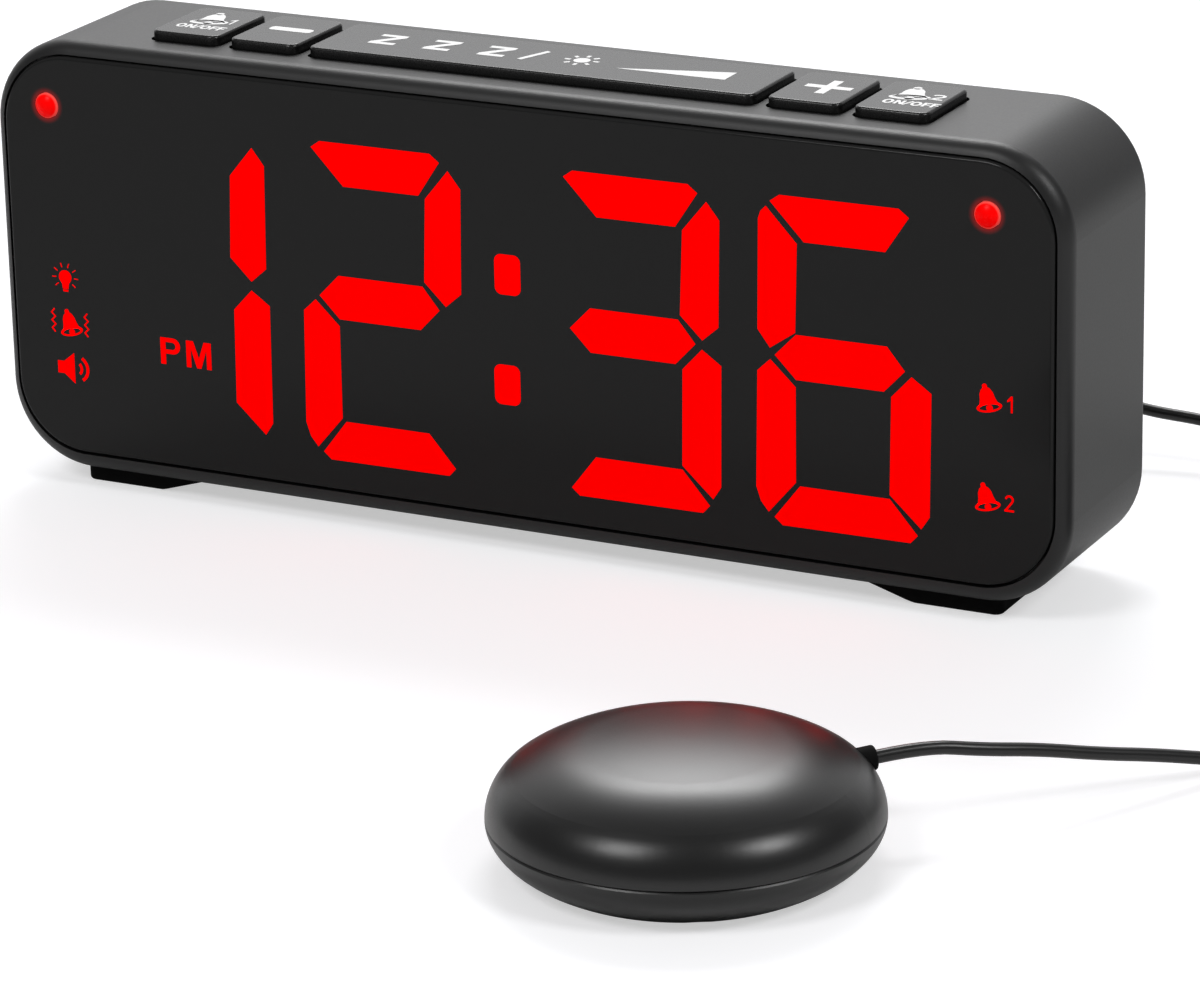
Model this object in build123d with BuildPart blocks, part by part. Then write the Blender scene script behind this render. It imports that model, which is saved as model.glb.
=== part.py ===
from build123d import *
import os
from math import asin, cos, degrees, pi, radians, sin, sqrt, tan

os.makedirs("parts", exist_ok=True)

# Bed shaker alarm clock: a wide LED clock on two feet and a pebble-shaped shaker, joined by one thin lead.
# Millimetres, +Z up, X along the clock's width, the clock faces -Y. The origin is on the table top,
# at the middle of the box around the clock and the shaker.

# Clock case
case_width = 190.0
case_height = 73.3
case_depth = 32.5
case_corner = 14.5
case_wall = 2.2
chin = 0.9
front_edge_radius = 3.0
rear_edge_radius = 1.5

# Feet
foot_height = 2.9
foot_outer_inset = 12.2
foot_flat = 14.3
foot_slope = 9.5
foot_front_inset = 3.5
foot_length = 25.0
foot_corner = 1.6
foot_edge_radius = 0.6
foot_peg_radius = 2.0
foot_peg_clearance = 0.1
foot_peg_spacing = 14.0

# Smoked lens and the ledge that it is glued to
lens_thickness = 2.0
lens_proud = 0.15
lens_rim = 1.95
lens_gap = 0.35
lens_edge_radius = 0.6
ledge_thickness = 1.6
ledge_side = 5.35
ledge_top = 3.9
window_corner = 3.0

# Display block and its board
lens_air = 0.2
reflector_clearance = 0.3
reflector_thickness = 7.0
diffuser_thickness = 5.6
diffuser_fit = 0.05
board_thickness = 1.6
board_side_gap = 0.6
board_top_margin = 0.7
boss_radius = 2.2
boss_wall_gap = 0.4
boss_rise = 14.0
chip_length = 3.2
chip_width = 1.6
chip_height = 0.8

# Digits, colon and signs on the display
digit_gap = 6.0
colon_space = 16.0
sign_column = 14.6
digit_top_margin = 5.4
digit_bottom_margin = 1.6
middle_bar_raise = 0.9
stroke = 7.0
stroke_gap = 1.27
stroke_tip = 1.2
colon_width = 4.5
colon_height = 6.6
colon_corner = 1.3
colon_spread = 18.4
colon_drop = 2.6
sign_width = 7.0
sign_height = 5.8
sign_inset = 4.8
left_sign_drops = (4.7, 11.2, 19.2)
right_sign_drops = (3.2, 19.2)
half_day_sign_width = 10.8
half_day_sign_shift = 1.4
half_day_sign_drop = 14.0

# Flash LEDs in the upper corners of the lens
flash_radius = 2.1
flash_flange = 0.4
flash_flange_height = 1.0
flash_dome = 1.0
flash_clearance = 0.15
flash_inset_side = 9.95
flash_inset_top = 8.85
flash_shift = 1.3

# Top buttons
button_width = 12.4
button_depth = 16.8
button_spacing = 2.2
button_row_inset = 26.4
button_row_depth = 15.9
button_proud = 1.6
button_gap = 0.45
button_corner = 1.6
button_edge_radius = 0.5
button_wall = 1.4
button_roof = 1.5
flange_gap = 0.1
flange_thickness = 1.2
flange_reach = 1.5
stem_radius = 2.0
stem_length = 1.5

# Tact switches under the buttons
switch_size = 6.0
switch_height = 3.5
switch_floor = 1.3
plunger_radius = 1.7
plunger_length = 2.2
plunger_proud = 1.2
plunger_clearance = 0.1

# Key board under the top wall
key_board_depth = 14.4
key_board_shift = 2.2
key_post_radius = 2.2
key_post_inset = 3.5
key_post_spacing = 9.0

# Rear cover
cover_inset = 1.5
cover_thickness = 2.2
cover_gap = 0.2
cover_boss_radius = 3.2
cover_boss_inset_side = 15.0
cover_boss_length = 15.0
cover_screw_radius = 1.5
screw_head_radius = 2.6
screw_head_height = 1.2
screw_pilot_radius = 1.1
screw_grip = 7.0
drive_length = 3.2
drive_width = 0.6

# Small board screws
board_screw_radius = 1.0
board_screw_head = 1.9
board_screw_head_height = 1.1
board_screw_grip = 4.0
screw_clearance = 0.2

# Main board behind the rear cover
main_x = 49.0
main_width = 62.0
main_gap_below = 0.2
main_gap_above = 2.9
main_standoff = 11.2
main_post_radius = 2.5
main_post_inset = 4.0

# Rear buttons and the volume slide
rear_button_x = (32.0, 47.0)
rear_row_rise = 13.0
rear_button_length = 9.0
rear_button_height = 5.0
rear_button_proud = 0.9
rear_button_gap = 0.3
rear_flange_reach = 1.2
rear_flange_thickness = 1.0
rear_stem_radius = 1.5
volume_x = 63.0
volume_travel = 3.0
volume_stem = 2.4
volume_knob_length = 4.2
volume_knob_height = 4.0
volume_gap = 0.3
volume_body_length = 10.0
volume_body_width = 5.0
volume_body_height = 5.0
volume_foot_depth = 1.6

# Jack for the shaker lead and inlet for the power lead
jack_x = 50.0
jack_drop = 17.0
jack_size = 9.0
jack_nose_radius = 3.4
jack_bore_radius = 1.85
inlet_x = 66.0
inlet_size = 9.5
inlet_nose_radius = 3.9
inlet_bore_radius = 2.8
inlet_bore_depth = 9.5
inlet_pin_radius = 1.0
nose_gap = 0.1

# Speaker behind its grille
speaker_x = -52.0
speaker_drop = 2.0
speaker_radius = 18.0
speaker_flange = 1.5
speaker_depth = 11.5
speaker_magnet_radius = 9.0
speaker_magnet_height = 5.0
speaker_basket_wall = 0.8
speaker_roll = 2.2
cone_thickness = 0.4
cone_drop = 1.6
cone_apex_radius = 4.5
speaker_ring_gap = 0.2
speaker_ring_wall = 1.5
speaker_ring_height = 3.0
grille_hole_radius = 0.9
grille_pitch = 3.6
grille_rings = 4

# Backup cell, its holder and the coin-slot cap
cell_x = -10.0
cell_drop = 2.0
cell_radius = 10.0
cell_height = 3.2
cell_gap = 0.2
cell_edge_radius = 0.3
holder_wall = 1.2
holder_flange_radius = 16.0
holder_flange = 1.2
cap_radius = 13.0
cap_thickness = 0.95
cap_hub_radius = 11.4
cap_clearance = 0.1
cap_lug_reach = 1.2
cap_lug_thickness = 1.0
cap_lug_angle = 24.0
cap_notch_angle = 32.0
cap_turn = 50.0
cap_lug_zone = 1.9
coin_slot_length = 14.0
coin_slot_width = 1.8
coin_slot_depth = 0.5

# Ribbon cables between the boards
ribbon_width = 12.0
ribbon_thickness = 0.8
ribbon_x = 12.0

# Shaker
shaker_offset_x = 80.2
shaker_offset_y = -102.4
shaker_radius = 27.8
dome_height = 11.3
crown_lean = 8.0
haunch_lean = 32.0
shoulder_radius = 8.0
seam_height = 7.0
base_radius = 21.5
shell_wall = 2.0
seam_chamfer = 0.25
shell_screw_circle = 20.0
shell_boss_radius = 2.8
shell_screw_radius = 1.1
shell_screw_head = 2.1
shell_screw_head_height = 1.3
shell_screw_seat = 4.0
shell_screw_grip = 4.5

# Vibration motor and eccentric weight
motor_axis_height = 8.6
motor_width = 12.0
motor_can_height = 10.0
motor_length = 15.0
motor_back = -12.0
motor_nose_radius = 3.0
motor_nose_length = 1.2
shaft_radius = 1.0
shaft_clearance = 0.05
shaft_reach = 10.0
shaft_depth = 8.0
weight_radius = 5.4
weight_length = 7.0
weight_hub_radius = 2.6
weight_gap = 1.0
cradle_width = 3.0
cradle_inset = 2.0
clamp_thickness = 1.2
clamp_width = 8.0
clamp_gap = 0.1
clamp_ear = 6.0
clamp_screw_head_height = 1.0
clamp_screw_grip = 1.6

# Grommet where the lead leaves the shaker
grommet_azimuth = 43.0
grommet_rise = 4.6
grommet_tilt = 5.0
grommet_radius = 1.8
grommet_proud = 1.2
grommet_depth = 4.5
grommet_edge_radius = 0.4

# Lead, plug, coil and tie
lead_radius = 1.0
plug_body_radius = 3.5
plug_body_length = 17.0
plug_relief_radius = 2.3
plug_relief_length = 9.0
plug_gap = 0.2
plug_pin_radius = 1.75
plug_pin_length = 12.8
plug_edge_radius = 0.8
lead_straight = 7.5
bend_share = 0.45
coil_straight = 12.5
coil_offset_x = 141.0
coil_offset_y = 17.75
coil_outer_radius = 19.0
coil_pitch = 3.2
coil_layers = 4
half_turns_per_layer = 8
tie_width = 4.0
tie_thickness = 0.8
tie_clearance = 0.6
tie_corner = 1.5
samples_per_arc = 24
samples_apart = 20

# Places worked out from the sizes above
shaker_right = shaker_offset_x + shaker_radius
shaker_front = shaker_offset_y - shaker_radius
clock_x = -(shaker_right - case_width / 2) / 2
clock_front = -(shaker_front + case_depth) / 2
shaker_x = clock_x + shaker_offset_x
shaker_y = clock_front + shaker_offset_y
coil_x = clock_x + coil_offset_x
coil_y = clock_front + coil_offset_y
case_bottom = foot_height
case_top = case_bottom + case_height
body_height = case_height - chin
case_mid = case_top - body_height / 2
inner_width = case_width - 2 * case_wall
inner_height = body_height - 2 * case_wall
inner_corner = case_corner - case_wall
pocket_width = case_width - 2 * lens_rim
pocket_height = body_height - 2 * lens_rim
pocket_corner = case_corner - lens_rim
pocket_depth = lens_thickness - lens_proud
ledge_back = pocket_depth + ledge_thickness
window_width = pocket_width - 2 * ledge_side
window_height = pocket_height - 2 * ledge_top
reflector_front = pocket_depth + lens_air
board_front = reflector_front + reflector_thickness
board_back = board_front + board_thickness
boss_x = inner_width / 2 - boss_radius - boss_wall_gap
cover_back = case_depth - cover_inset
cover_front = cover_back - cover_thickness
cover_boss_x = case_width / 2 - cover_boss_inset_side
cover_boss_z = inner_height / 2 - cover_boss_radius - boss_wall_gap
main_back = cover_front - main_standoff
main_front = main_back - board_thickness
under_top = case_top - case_wall
cap_top = case_top + button_proud
flange_top = under_top - flange_gap
flange_bottom = flange_top - flange_thickness
plunger_top = flange_bottom - stem_length
switch_top = plunger_top - plunger_proud
key_board_top = switch_top - switch_height
main_low = case_mid - cover_boss_z + cover_boss_radius + main_gap_below
main_top = key_board_top - board_thickness - main_gap_above
main_height = main_top - main_low
main_rise = (main_top + main_low) / 2 - case_mid
rear_flange_back = cover_front - flange_gap
rear_flange_front = rear_flange_back - rear_flange_thickness
rear_switch_back = main_back + switch_height
rear_plunger_back = rear_switch_back + plunger_proud
digit_width = (window_width - 2 * sign_column - colon_space - 2 * digit_gap) / 4
digit_top = window_height / 2 - digit_top_margin
digit_bottom = digit_bottom_margin - window_height / 2
digit_middle = (digit_top + digit_bottom) / 2 + middle_bar_raise
inner_digit_x = (colon_space + digit_width) / 2
outer_digit_x = inner_digit_x + digit_width + digit_gap
flash_x = pocket_width / 2 - flash_inset_side
flash_z = pocket_height / 2 - flash_inset_top
flash_places = {"left_flash_led": -flash_x - flash_shift, "right_flash_led": flash_x - flash_shift}
key_board_middle = button_row_depth + key_board_shift
snooze_width = case_width - 2 * button_row_inset - 4 * (button_width + button_spacing)
small_button_x = (snooze_width + button_width) / 2 + button_spacing
outer_button_x = small_button_x + button_width + button_spacing
top_buttons = {
    "alarm_1_button": (-outer_button_x, button_width),
    "minus_button": (-small_button_x, button_width),
    "snooze_bar": (0.0, snooze_width),
    "plus_button": (small_button_x, button_width),
    "alarm_2_button": (outer_button_x, button_width),
}
rear_buttons = dict(zip(("time_set_button", "alarm_mode_button"), rear_button_x))
lit_strokes = {-outer_digit_x: "bc", -inner_digit_x: "abged", inner_digit_x: "abgcd", outer_digit_x: "afgedc"}


def face(depth, x=0.0, rise=0.0):
    """Plane that faces forward, at a depth behind the case front; x and rise start at the case's middle."""
    origin = (clock_x + x, clock_front + depth, case_mid + rise)
    return Plane(origin=origin, x_dir=(1, 0, 0), z_dir=(0, -1, 0))


def level(height, x=0.0, depth=0.0):
    """Level plane at a height above the table, placed along the clock's width and depth."""
    return Plane(origin=(clock_x + x, clock_front + depth, height))


def turning_plane(depth, x, rise):
    """Plane for a section that is revolved about a line along Y: its local y runs back from a depth."""
    return Plane(origin=(clock_x + x, clock_front + depth, case_mid + rise), x_dir=(1, 0, 0), z_dir=(0, 0, 1))


def turning_axis(x, rise):
    return Axis((clock_x + x, clock_front, case_mid + rise), (0, 1, 0))


def save(builder, name):
    builder.part.label = name
    export_step(builder.part, f"parts/{name}.step")


def stroke_outlines():
    """Outlines of the seven strokes of a digit, about the middle of its width."""
    left, right = -digit_width / 2, digit_width / 2
    top, low, mid = digit_top, digit_bottom, digit_middle
    mitre = stroke_gap / sqrt(2)
    tip = stroke_tip
    start = 2 * tip + mitre
    half = stroke / 2
    bar = [(left + start, top), (right - start, top), (right - tip - mitre, top - tip),
           (right - stroke - mitre, top - stroke), (left + stroke + mitre, top - stroke),
           (left + tip + mitre, top - tip)]
    centre = [(left + half, mid), (left + stroke, mid + half), (right - stroke, mid + half),
              (right - half, mid), (right - stroke, mid - half), (left + stroke, mid - half)]
    side = [(left, top - start), (left + tip, top - tip - mitre), (left + stroke, top - stroke - mitre),
            (left + stroke, mid + half + 2 * mitre), (left + half - mitre, mid + mitre), (left, mid + half)]
    flipped = low + top

    def swap_sides(points):
        return [(-x, z) for x, z in points]

    def upside_down(points):
        return [(x, flipped - z) for x, z in points]

    lower_side = []
    for x, z in side:
        nearer_tip = z > (top + mid) / 2
        lower_side.append((x, flipped - z if nearer_tip else 2 * mid - z))
    return {"a": bar, "b": swap_sides(side), "c": swap_sides(lower_side), "d": upside_down(bar),
            "e": lower_side, "f": side, "g": centre}


def sign_places():
    """Middle of each sign window and its width, from the middle of the case."""
    column = window_width / 2 - sign_inset
    places = [(-column, -drop, sign_width) for drop in left_sign_drops]
    places += [(column, -drop, sign_width) for drop in right_sign_drops]
    places.append((-outer_digit_x - half_day_sign_shift, -half_day_sign_drop, half_day_sign_width))
    return places


strokes = stroke_outlines()
colon_places = [(0.0, -colon_drop - colon_spread / 2), (0.0, -colon_drop + colon_spread / 2)]


def window_sketch(lit, shrink=0.0):
    """Sketch of the digit strokes that are lit or dark, and with the lit ones the colon and the signs."""
    with BuildSketch(Plane.XY) as windows:
        for x, lit_names in lit_strokes.items():
            for name, outline in strokes.items():
                if (name in lit_names) == lit:
                    with Locations((x, 0)):
                        Polygon(*outline, align=None)
        if lit:
            with Locations(*colon_places):
                RectangleRounded(colon_width, colon_height, colon_corner)
            for x, z, width in sign_places():
                with Locations((x, z)):
                    Rectangle(width, sign_height)
        offset(amount=-shrink, kind=Kind.INTERSECTION)
    return windows.sketch


# Case shell, one deep moulding with the lens pocket in front and an open back
with BuildPart() as case_shell:
    with BuildSketch(face(0, 0, -chin / 2)):
        RectangleRounded(case_width, case_height, case_corner)
    extrude(amount=-case_depth)
    fillet(case_shell.edges().group_by(Axis.Y)[0], front_edge_radius)
    fillet(case_shell.edges().group_by(Axis.Y)[-1], rear_edge_radius)
    with BuildSketch(face(ledge_back)):
        RectangleRounded(inner_width, inner_height, inner_corner)
    extrude(amount=ledge_back - case_depth, mode=Mode.SUBTRACT)
    with BuildSketch(face(0)):
        RectangleRounded(pocket_width, pocket_height, pocket_corner)
    extrude(amount=-pocket_depth, mode=Mode.SUBTRACT)
    with BuildSketch(face(pocket_depth)):
        RectangleRounded(window_width, window_height, window_corner)
    extrude(amount=-ledge_thickness, mode=Mode.SUBTRACT)
    # Openings for the top buttons
    with BuildSketch(level(case_top, 0, button_row_depth)):
        for x, width in top_buttons.values():
            with Locations((x, 0)):
                RectangleRounded(width + 2 * button_gap, button_depth + 2 * button_gap, button_corner + button_gap)
    extrude(amount=-case_wall, mode=Mode.SUBTRACT)
    # Bosses for the display board, for the rear cover and for the key board
    with BuildSketch(face(ledge_back)):
        with GridLocations(2 * boss_x, 2 * boss_rise, 2, 2):
            Circle(boss_radius)
    extrude(amount=ledge_back - board_front)
    with BuildSketch(face(cover_front - cover_boss_length)):
        with GridLocations(2 * cover_boss_x, 2 * cover_boss_z, 2, 2):
            Circle(cover_boss_radius)
        web = inner_height / 2 - cover_boss_z + case_wall / 2
        for end in (-1, 1):
            with GridLocations(2 * cover_boss_x, 0, 2, 1):
                with Locations((0, end * (cover_boss_z + web / 2))):
                    Rectangle(2 * cover_boss_radius, web)
    extrude(amount=-cover_boss_length)
    key_post_x = outer_button_x + button_width / 2 + key_post_inset
    with BuildSketch(level(key_board_top, 0, key_board_middle)):
        with GridLocations(2 * key_post_x, key_post_spacing, 2, 2):
            Circle(key_post_radius)
    extrude(amount=under_top - key_board_top)
    # Pilot holes for the screws and holes for the foot pegs
    with BuildSketch(face(board_front)):
        with GridLocations(2 * boss_x, 2 * boss_rise, 2, 2):
            Circle(board_screw_radius)
    extrude(amount=board_screw_grip, mode=Mode.SUBTRACT)
    with BuildSketch(face(cover_front)):
        with GridLocations(2 * cover_boss_x, 2 * cover_boss_z, 2, 2):
            Circle(screw_pilot_radius)
    extrude(amount=screw_grip, mode=Mode.SUBTRACT)
    with BuildSketch(level(key_board_top, 0, key_board_middle)):
        with GridLocations(2 * key_post_x, key_post_spacing, 2, 2):
            Circle(board_screw_radius)
    extrude(amount=board_screw_grip, mode=Mode.SUBTRACT)
    foot_peg_x = case_width / 2 - foot_outer_inset - foot_flat / 2
    foot_peg_depth = foot_front_inset + foot_length / 2
    with BuildSketch(level(case_bottom, 0, foot_peg_depth)):
        with GridLocations(2 * foot_peg_x, foot_peg_spacing, 2, 2):
            Circle(foot_peg_radius + foot_peg_clearance)
    extrude(amount=case_wall, mode=Mode.SUBTRACT)
save(case_shell, "case_shell")

# Smoked lens, a flat panel that stands a little proud of the rim, with two holes for the flash LEDs
with BuildPart() as front_lens:
    with BuildSketch(face(-lens_proud)):
        RectangleRounded(pocket_width - 2 * lens_gap, pocket_height - 2 * lens_gap, pocket_corner - lens_gap)
    extrude(amount=-lens_thickness)
    fillet(front_lens.edges().group_by(Axis.Y)[0], lens_edge_radius)
    with BuildSketch(face(-lens_proud)):
        with Locations(*[(x, flash_z) for x in flash_places.values()]):
            Circle(flash_radius + flash_clearance)
    extrude(amount=-lens_thickness, mode=Mode.SUBTRACT)
save(front_lens, "front_lens")

# Reflector block with a straight well behind every stroke, dot and sign
lit_wells = window_sketch(True)
dark_wells = window_sketch(False)
with BuildPart() as digit_reflector:
    with BuildSketch(face(reflector_front)):
        RectangleRounded(window_width - 2 * reflector_clearance, window_height - 2 * reflector_clearance,
                         window_corner - reflector_clearance)
        add(lit_wells, mode=Mode.SUBTRACT)
        add(dark_wells, mode=Mode.SUBTRACT)
        with Locations(*[(x, flash_z) for x in flash_places.values()]):
            Circle(flash_radius + flash_flange + flash_clearance, mode=Mode.SUBTRACT)
    extrude(amount=-reflector_thickness)
save(digit_reflector, "digit_reflector")

# Light windows cast into the wells: those that show 12:36 with the signs, and those that are dark
for name, lit in (("lit_segments", True), ("dark_segments", False)):
    outlines = window_sketch(lit, diffuser_fit)
    with BuildPart() as segments:
        with BuildSketch(face(reflector_front)):
            add(outlines)
        extrude(amount=-diffuser_thickness)
    save(segments, name)

# Display board behind the reflector
board_height = window_height + 2 * board_top_margin
board_corner = inner_corner - board_side_gap - (inner_height - board_height) / 2
with BuildPart() as display_board:
    with BuildSketch(face(board_front)):
        RectangleRounded(inner_width - 2 * board_side_gap, board_height, board_corner)
        with GridLocations(2 * boss_x, 2 * boss_rise, 2, 2):
            Circle(board_screw_radius + screw_clearance, mode=Mode.SUBTRACT)
    extrude(amount=-board_thickness)
save(display_board, "display_board")

# LED chips on the display board, one in each well
with BuildPart() as segment_leds:
    with BuildSketch(face(board_front)):
        for x in lit_strokes:
            for outline in strokes.values():
                middle_x = sum(point[0] for point in outline) / len(outline)
                middle_z = sum(point[1] for point in outline) / len(outline)
                with Locations((x + middle_x, middle_z)):
                    Rectangle(chip_length, chip_width)
        with Locations(*colon_places, *[place[:2] for place in sign_places()]):
            Rectangle(chip_length, chip_width)
    extrude(amount=chip_height)
save(segment_leds, "segment_leds")

# Flash LEDs, domed, from the display board through the lens
flash_shoulder = board_front + lens_proud
flash_tip = flash_shoulder + flash_dome
flash_dome_radius = (flash_radius**2 + flash_dome**2) / (2 * flash_dome)
for name, x in flash_places.items():
    with BuildPart() as flash_led:
        with BuildSketch(turning_plane(board_front, x, flash_z)):
            with BuildLine():
                Polyline((0, -flash_tip), (0, 0), (flash_radius + flash_flange, 0),
                         (flash_radius + flash_flange, -flash_flange_height), (flash_radius, -flash_flange_height),
                         (flash_radius, -flash_shoulder))
                RadiusArc((flash_radius, -flash_shoulder), (0, -flash_tip), flash_dome_radius)
            make_face()
        revolve(axis=turning_axis(x, flash_z))
    save(flash_led, name)

# Top buttons, hollow caps with retaining flanges front and back and a stem onto the switch
for name, (x, width) in top_buttons.items():
    with BuildPart() as button:
        with BuildSketch(level(flange_bottom, x, button_row_depth)):
            RectangleRounded(width, button_depth, button_corner)
        extrude(amount=cap_top - flange_bottom)
        fillet(button.edges().group_by(Axis.Z)[-1], button_edge_radius)
        with BuildSketch(level(flange_bottom, x, button_row_depth)):
            Rectangle(width - 2 * button_corner, button_depth + 2 * flange_reach)
        extrude(amount=flange_thickness)
        with BuildSketch(level(flange_bottom, x, button_row_depth)):
            Rectangle(width - 2 * button_wall, button_depth - 2 * button_wall)
        extrude(amount=cap_top - button_roof - flange_bottom, mode=Mode.SUBTRACT)
        with BuildSketch(level(plunger_top, x, button_row_depth)):
            Circle(stem_radius)
        extrude(amount=cap_top - button_roof - plunger_top)
    save(button, name)
    with BuildPart() as plunger:
        with BuildSketch(level(plunger_top, x, button_row_depth)):
            Circle(plunger_radius)
        extrude(amount=-plunger_length)
    save(plunger, name.rsplit("_", 1)[0] + "_plunger")

# Tact switches on the key board, each with a well for its plunger
with BuildPart() as top_switches:
    with BuildSketch(level(key_board_top, 0, button_row_depth)):
        with Locations(*[(x, 0) for x, width in top_buttons.values()]):
            Rectangle(switch_size, switch_size)
    extrude(amount=switch_height)
    with BuildSketch(level(key_board_top + switch_floor, 0, button_row_depth)):
        with Locations(*[(x, 0) for x, width in top_buttons.values()]):
            Circle(plunger_radius + plunger_clearance)
    extrude(amount=switch_height - switch_floor, mode=Mode.SUBTRACT)
save(top_switches, "top_switches")

# Key board, screwed to the posts under the top wall
with BuildPart() as key_board:
    with BuildSketch(level(key_board_top, 0, key_board_middle)):
        Rectangle(2 * (key_post_x + key_post_radius), key_board_depth)
        with GridLocations(2 * key_post_x, key_post_spacing, 2, 2):
            Circle(board_screw_radius + screw_clearance, mode=Mode.SUBTRACT)
    extrude(amount=-board_thickness)
save(key_board, "key_board")

# Rear cover, let into the back of the case
main_post_x = main_width - 2 * main_post_inset
main_post_z = main_height - 2 * main_post_inset
with BuildPart() as rear_cover:
    with BuildSketch(face(cover_front)):
        RectangleRounded(inner_width - 2 * cover_gap, inner_height - 2 * cover_gap, inner_corner - cover_gap)
    extrude(amount=-cover_thickness)
    # Posts for the main board and a ring that locates the speaker
    with BuildSketch(face(cover_front, main_x, main_rise)):
        with GridLocations(main_post_x, main_post_z, 2, 2):
            Circle(main_post_radius)
    extrude(amount=main_standoff)
    with BuildSketch(face(cover_front, speaker_x, -speaker_drop)):
        Circle(speaker_radius + speaker_ring_gap + speaker_ring_wall)
        Circle(speaker_radius + speaker_ring_gap, mode=Mode.SUBTRACT)
    extrude(amount=speaker_ring_height)
    with BuildSketch(face(main_back, main_x, main_rise)):
        with GridLocations(main_post_x, main_post_z, 2, 2):
            Circle(board_screw_radius)
    extrude(amount=-board_screw_grip, mode=Mode.SUBTRACT)
    # Counterbored screw holes
    with BuildSketch(face(cover_front)):
        with GridLocations(2 * cover_boss_x, 2 * cover_boss_z, 2, 2):
            Circle(cover_screw_radius + screw_clearance)
    extrude(amount=-cover_thickness, mode=Mode.SUBTRACT)
    with BuildSketch(face(cover_back)):
        with GridLocations(2 * cover_boss_x, 2 * cover_boss_z, 2, 2):
            Circle(screw_head_radius + screw_clearance)
    extrude(amount=screw_head_height, mode=Mode.SUBTRACT)
    # Grille, socket noses, rear buttons, volume slot and battery opening
    with BuildSketch(face(cover_front, speaker_x, -speaker_drop)):
        Circle(grille_hole_radius)
        for ring in range(1, grille_rings + 1):
            with PolarLocations(ring * grille_pitch, 6 * ring):
                Circle(grille_hole_radius)
    extrude(amount=-cover_thickness, mode=Mode.SUBTRACT)
    with BuildSketch(face(cover_front)):
        with Locations((jack_x, -jack_drop)):
            Circle(jack_nose_radius + nose_gap)
        with Locations((inlet_x, -jack_drop)):
            Circle(inlet_nose_radius + nose_gap)
        with Locations(*[(x, rear_row_rise) for x in rear_button_x]):
            SlotOverall(rear_button_length + 2 * rear_button_gap, rear_button_height + 2 * rear_button_gap)
        with Locations((volume_x + volume_travel / 2, rear_row_rise)):
            Rectangle(volume_stem + volume_travel + 2 * volume_gap, volume_stem + 2 * volume_gap)
        with Locations((cell_x, -cell_drop)):
            Circle(cap_hub_radius + cap_clearance)
    extrude(amount=-cover_thickness, mode=Mode.SUBTRACT)
    with BuildSketch(face(cover_back, cell_x, -cell_drop)):
        Circle(cap_radius + cap_clearance)
    extrude(amount=cap_thickness + cap_clearance / 2, mode=Mode.SUBTRACT)
    # Two notches that let the cap's lugs through
    with BuildSketch(face(cover_front, cell_x, -cell_drop)):
        for turn in (0, 180):
            with BuildLine():
                CenterArc((0, 0), cap_hub_radius + cap_lug_reach + cap_clearance, turn - cap_notch_angle / 2,
                          cap_notch_angle)
                reach = cap_hub_radius + cap_lug_reach + cap_clearance
                first, last = radians(turn - cap_notch_angle / 2), radians(turn + cap_notch_angle / 2)
                Polyline((reach * cos(last), reach * sin(last)), (0, 0), (reach * cos(first), reach * sin(first)))
            make_face()
    extrude(amount=-cover_thickness, mode=Mode.SUBTRACT)
save(rear_cover, "rear_cover")

# Main board on the rear cover's posts
with BuildPart() as main_board:
    with BuildSketch(face(main_front, main_x, main_rise)):
        Rectangle(main_width, main_height)
        with GridLocations(main_post_x, main_post_z, 2, 2):
            Circle(board_screw_radius + screw_clearance, mode=Mode.SUBTRACT)
    extrude(amount=-board_thickness)
save(main_board, "main_board")

# Rear tact switches on the main board
with BuildPart() as rear_switches:
    with BuildSketch(face(main_back)):
        with Locations(*[(x, rear_row_rise) for x in rear_button_x]):
            Rectangle(switch_size, switch_size)
    extrude(amount=-switch_height)
    with BuildSketch(face(main_back + switch_floor)):
        with Locations(*[(x, rear_row_rise) for x in rear_button_x]):
            Circle(plunger_radius + plunger_clearance)
    extrude(amount=switch_floor - switch_height, mode=Mode.SUBTRACT)
save(rear_switches, "rear_switches")

# Rear set buttons with long stems
for name, x in rear_buttons.items():
    with BuildPart() as button:
        with BuildSketch(face(rear_flange_front, x, rear_row_rise)):
            SlotOverall(rear_button_length, rear_button_height)
        extrude(amount=rear_flange_front - cover_back - rear_button_proud)
        fillet(button.edges().group_by(Axis.Y)[-1], button_edge_radius)
        with BuildSketch(face(rear_flange_front, x, rear_row_rise)):
            SlotOverall(rear_button_length + 2 * rear_flange_reach, rear_button_height + 2 * rear_flange_reach)
        extrude(amount=-rear_flange_thickness)
        with BuildSketch(face(rear_plunger_back, x, rear_row_rise)):
            Circle(rear_stem_radius)
        extrude(amount=rear_plunger_back - rear_flange_front)
    save(button, name)
    with BuildPart() as plunger:
        with BuildSketch(face(rear_plunger_back, x, rear_row_rise)):
            Circle(plunger_radius)
        extrude(amount=plunger_length)
    save(plunger, name.rsplit("_", 1)[0] + "_plunger")

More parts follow.
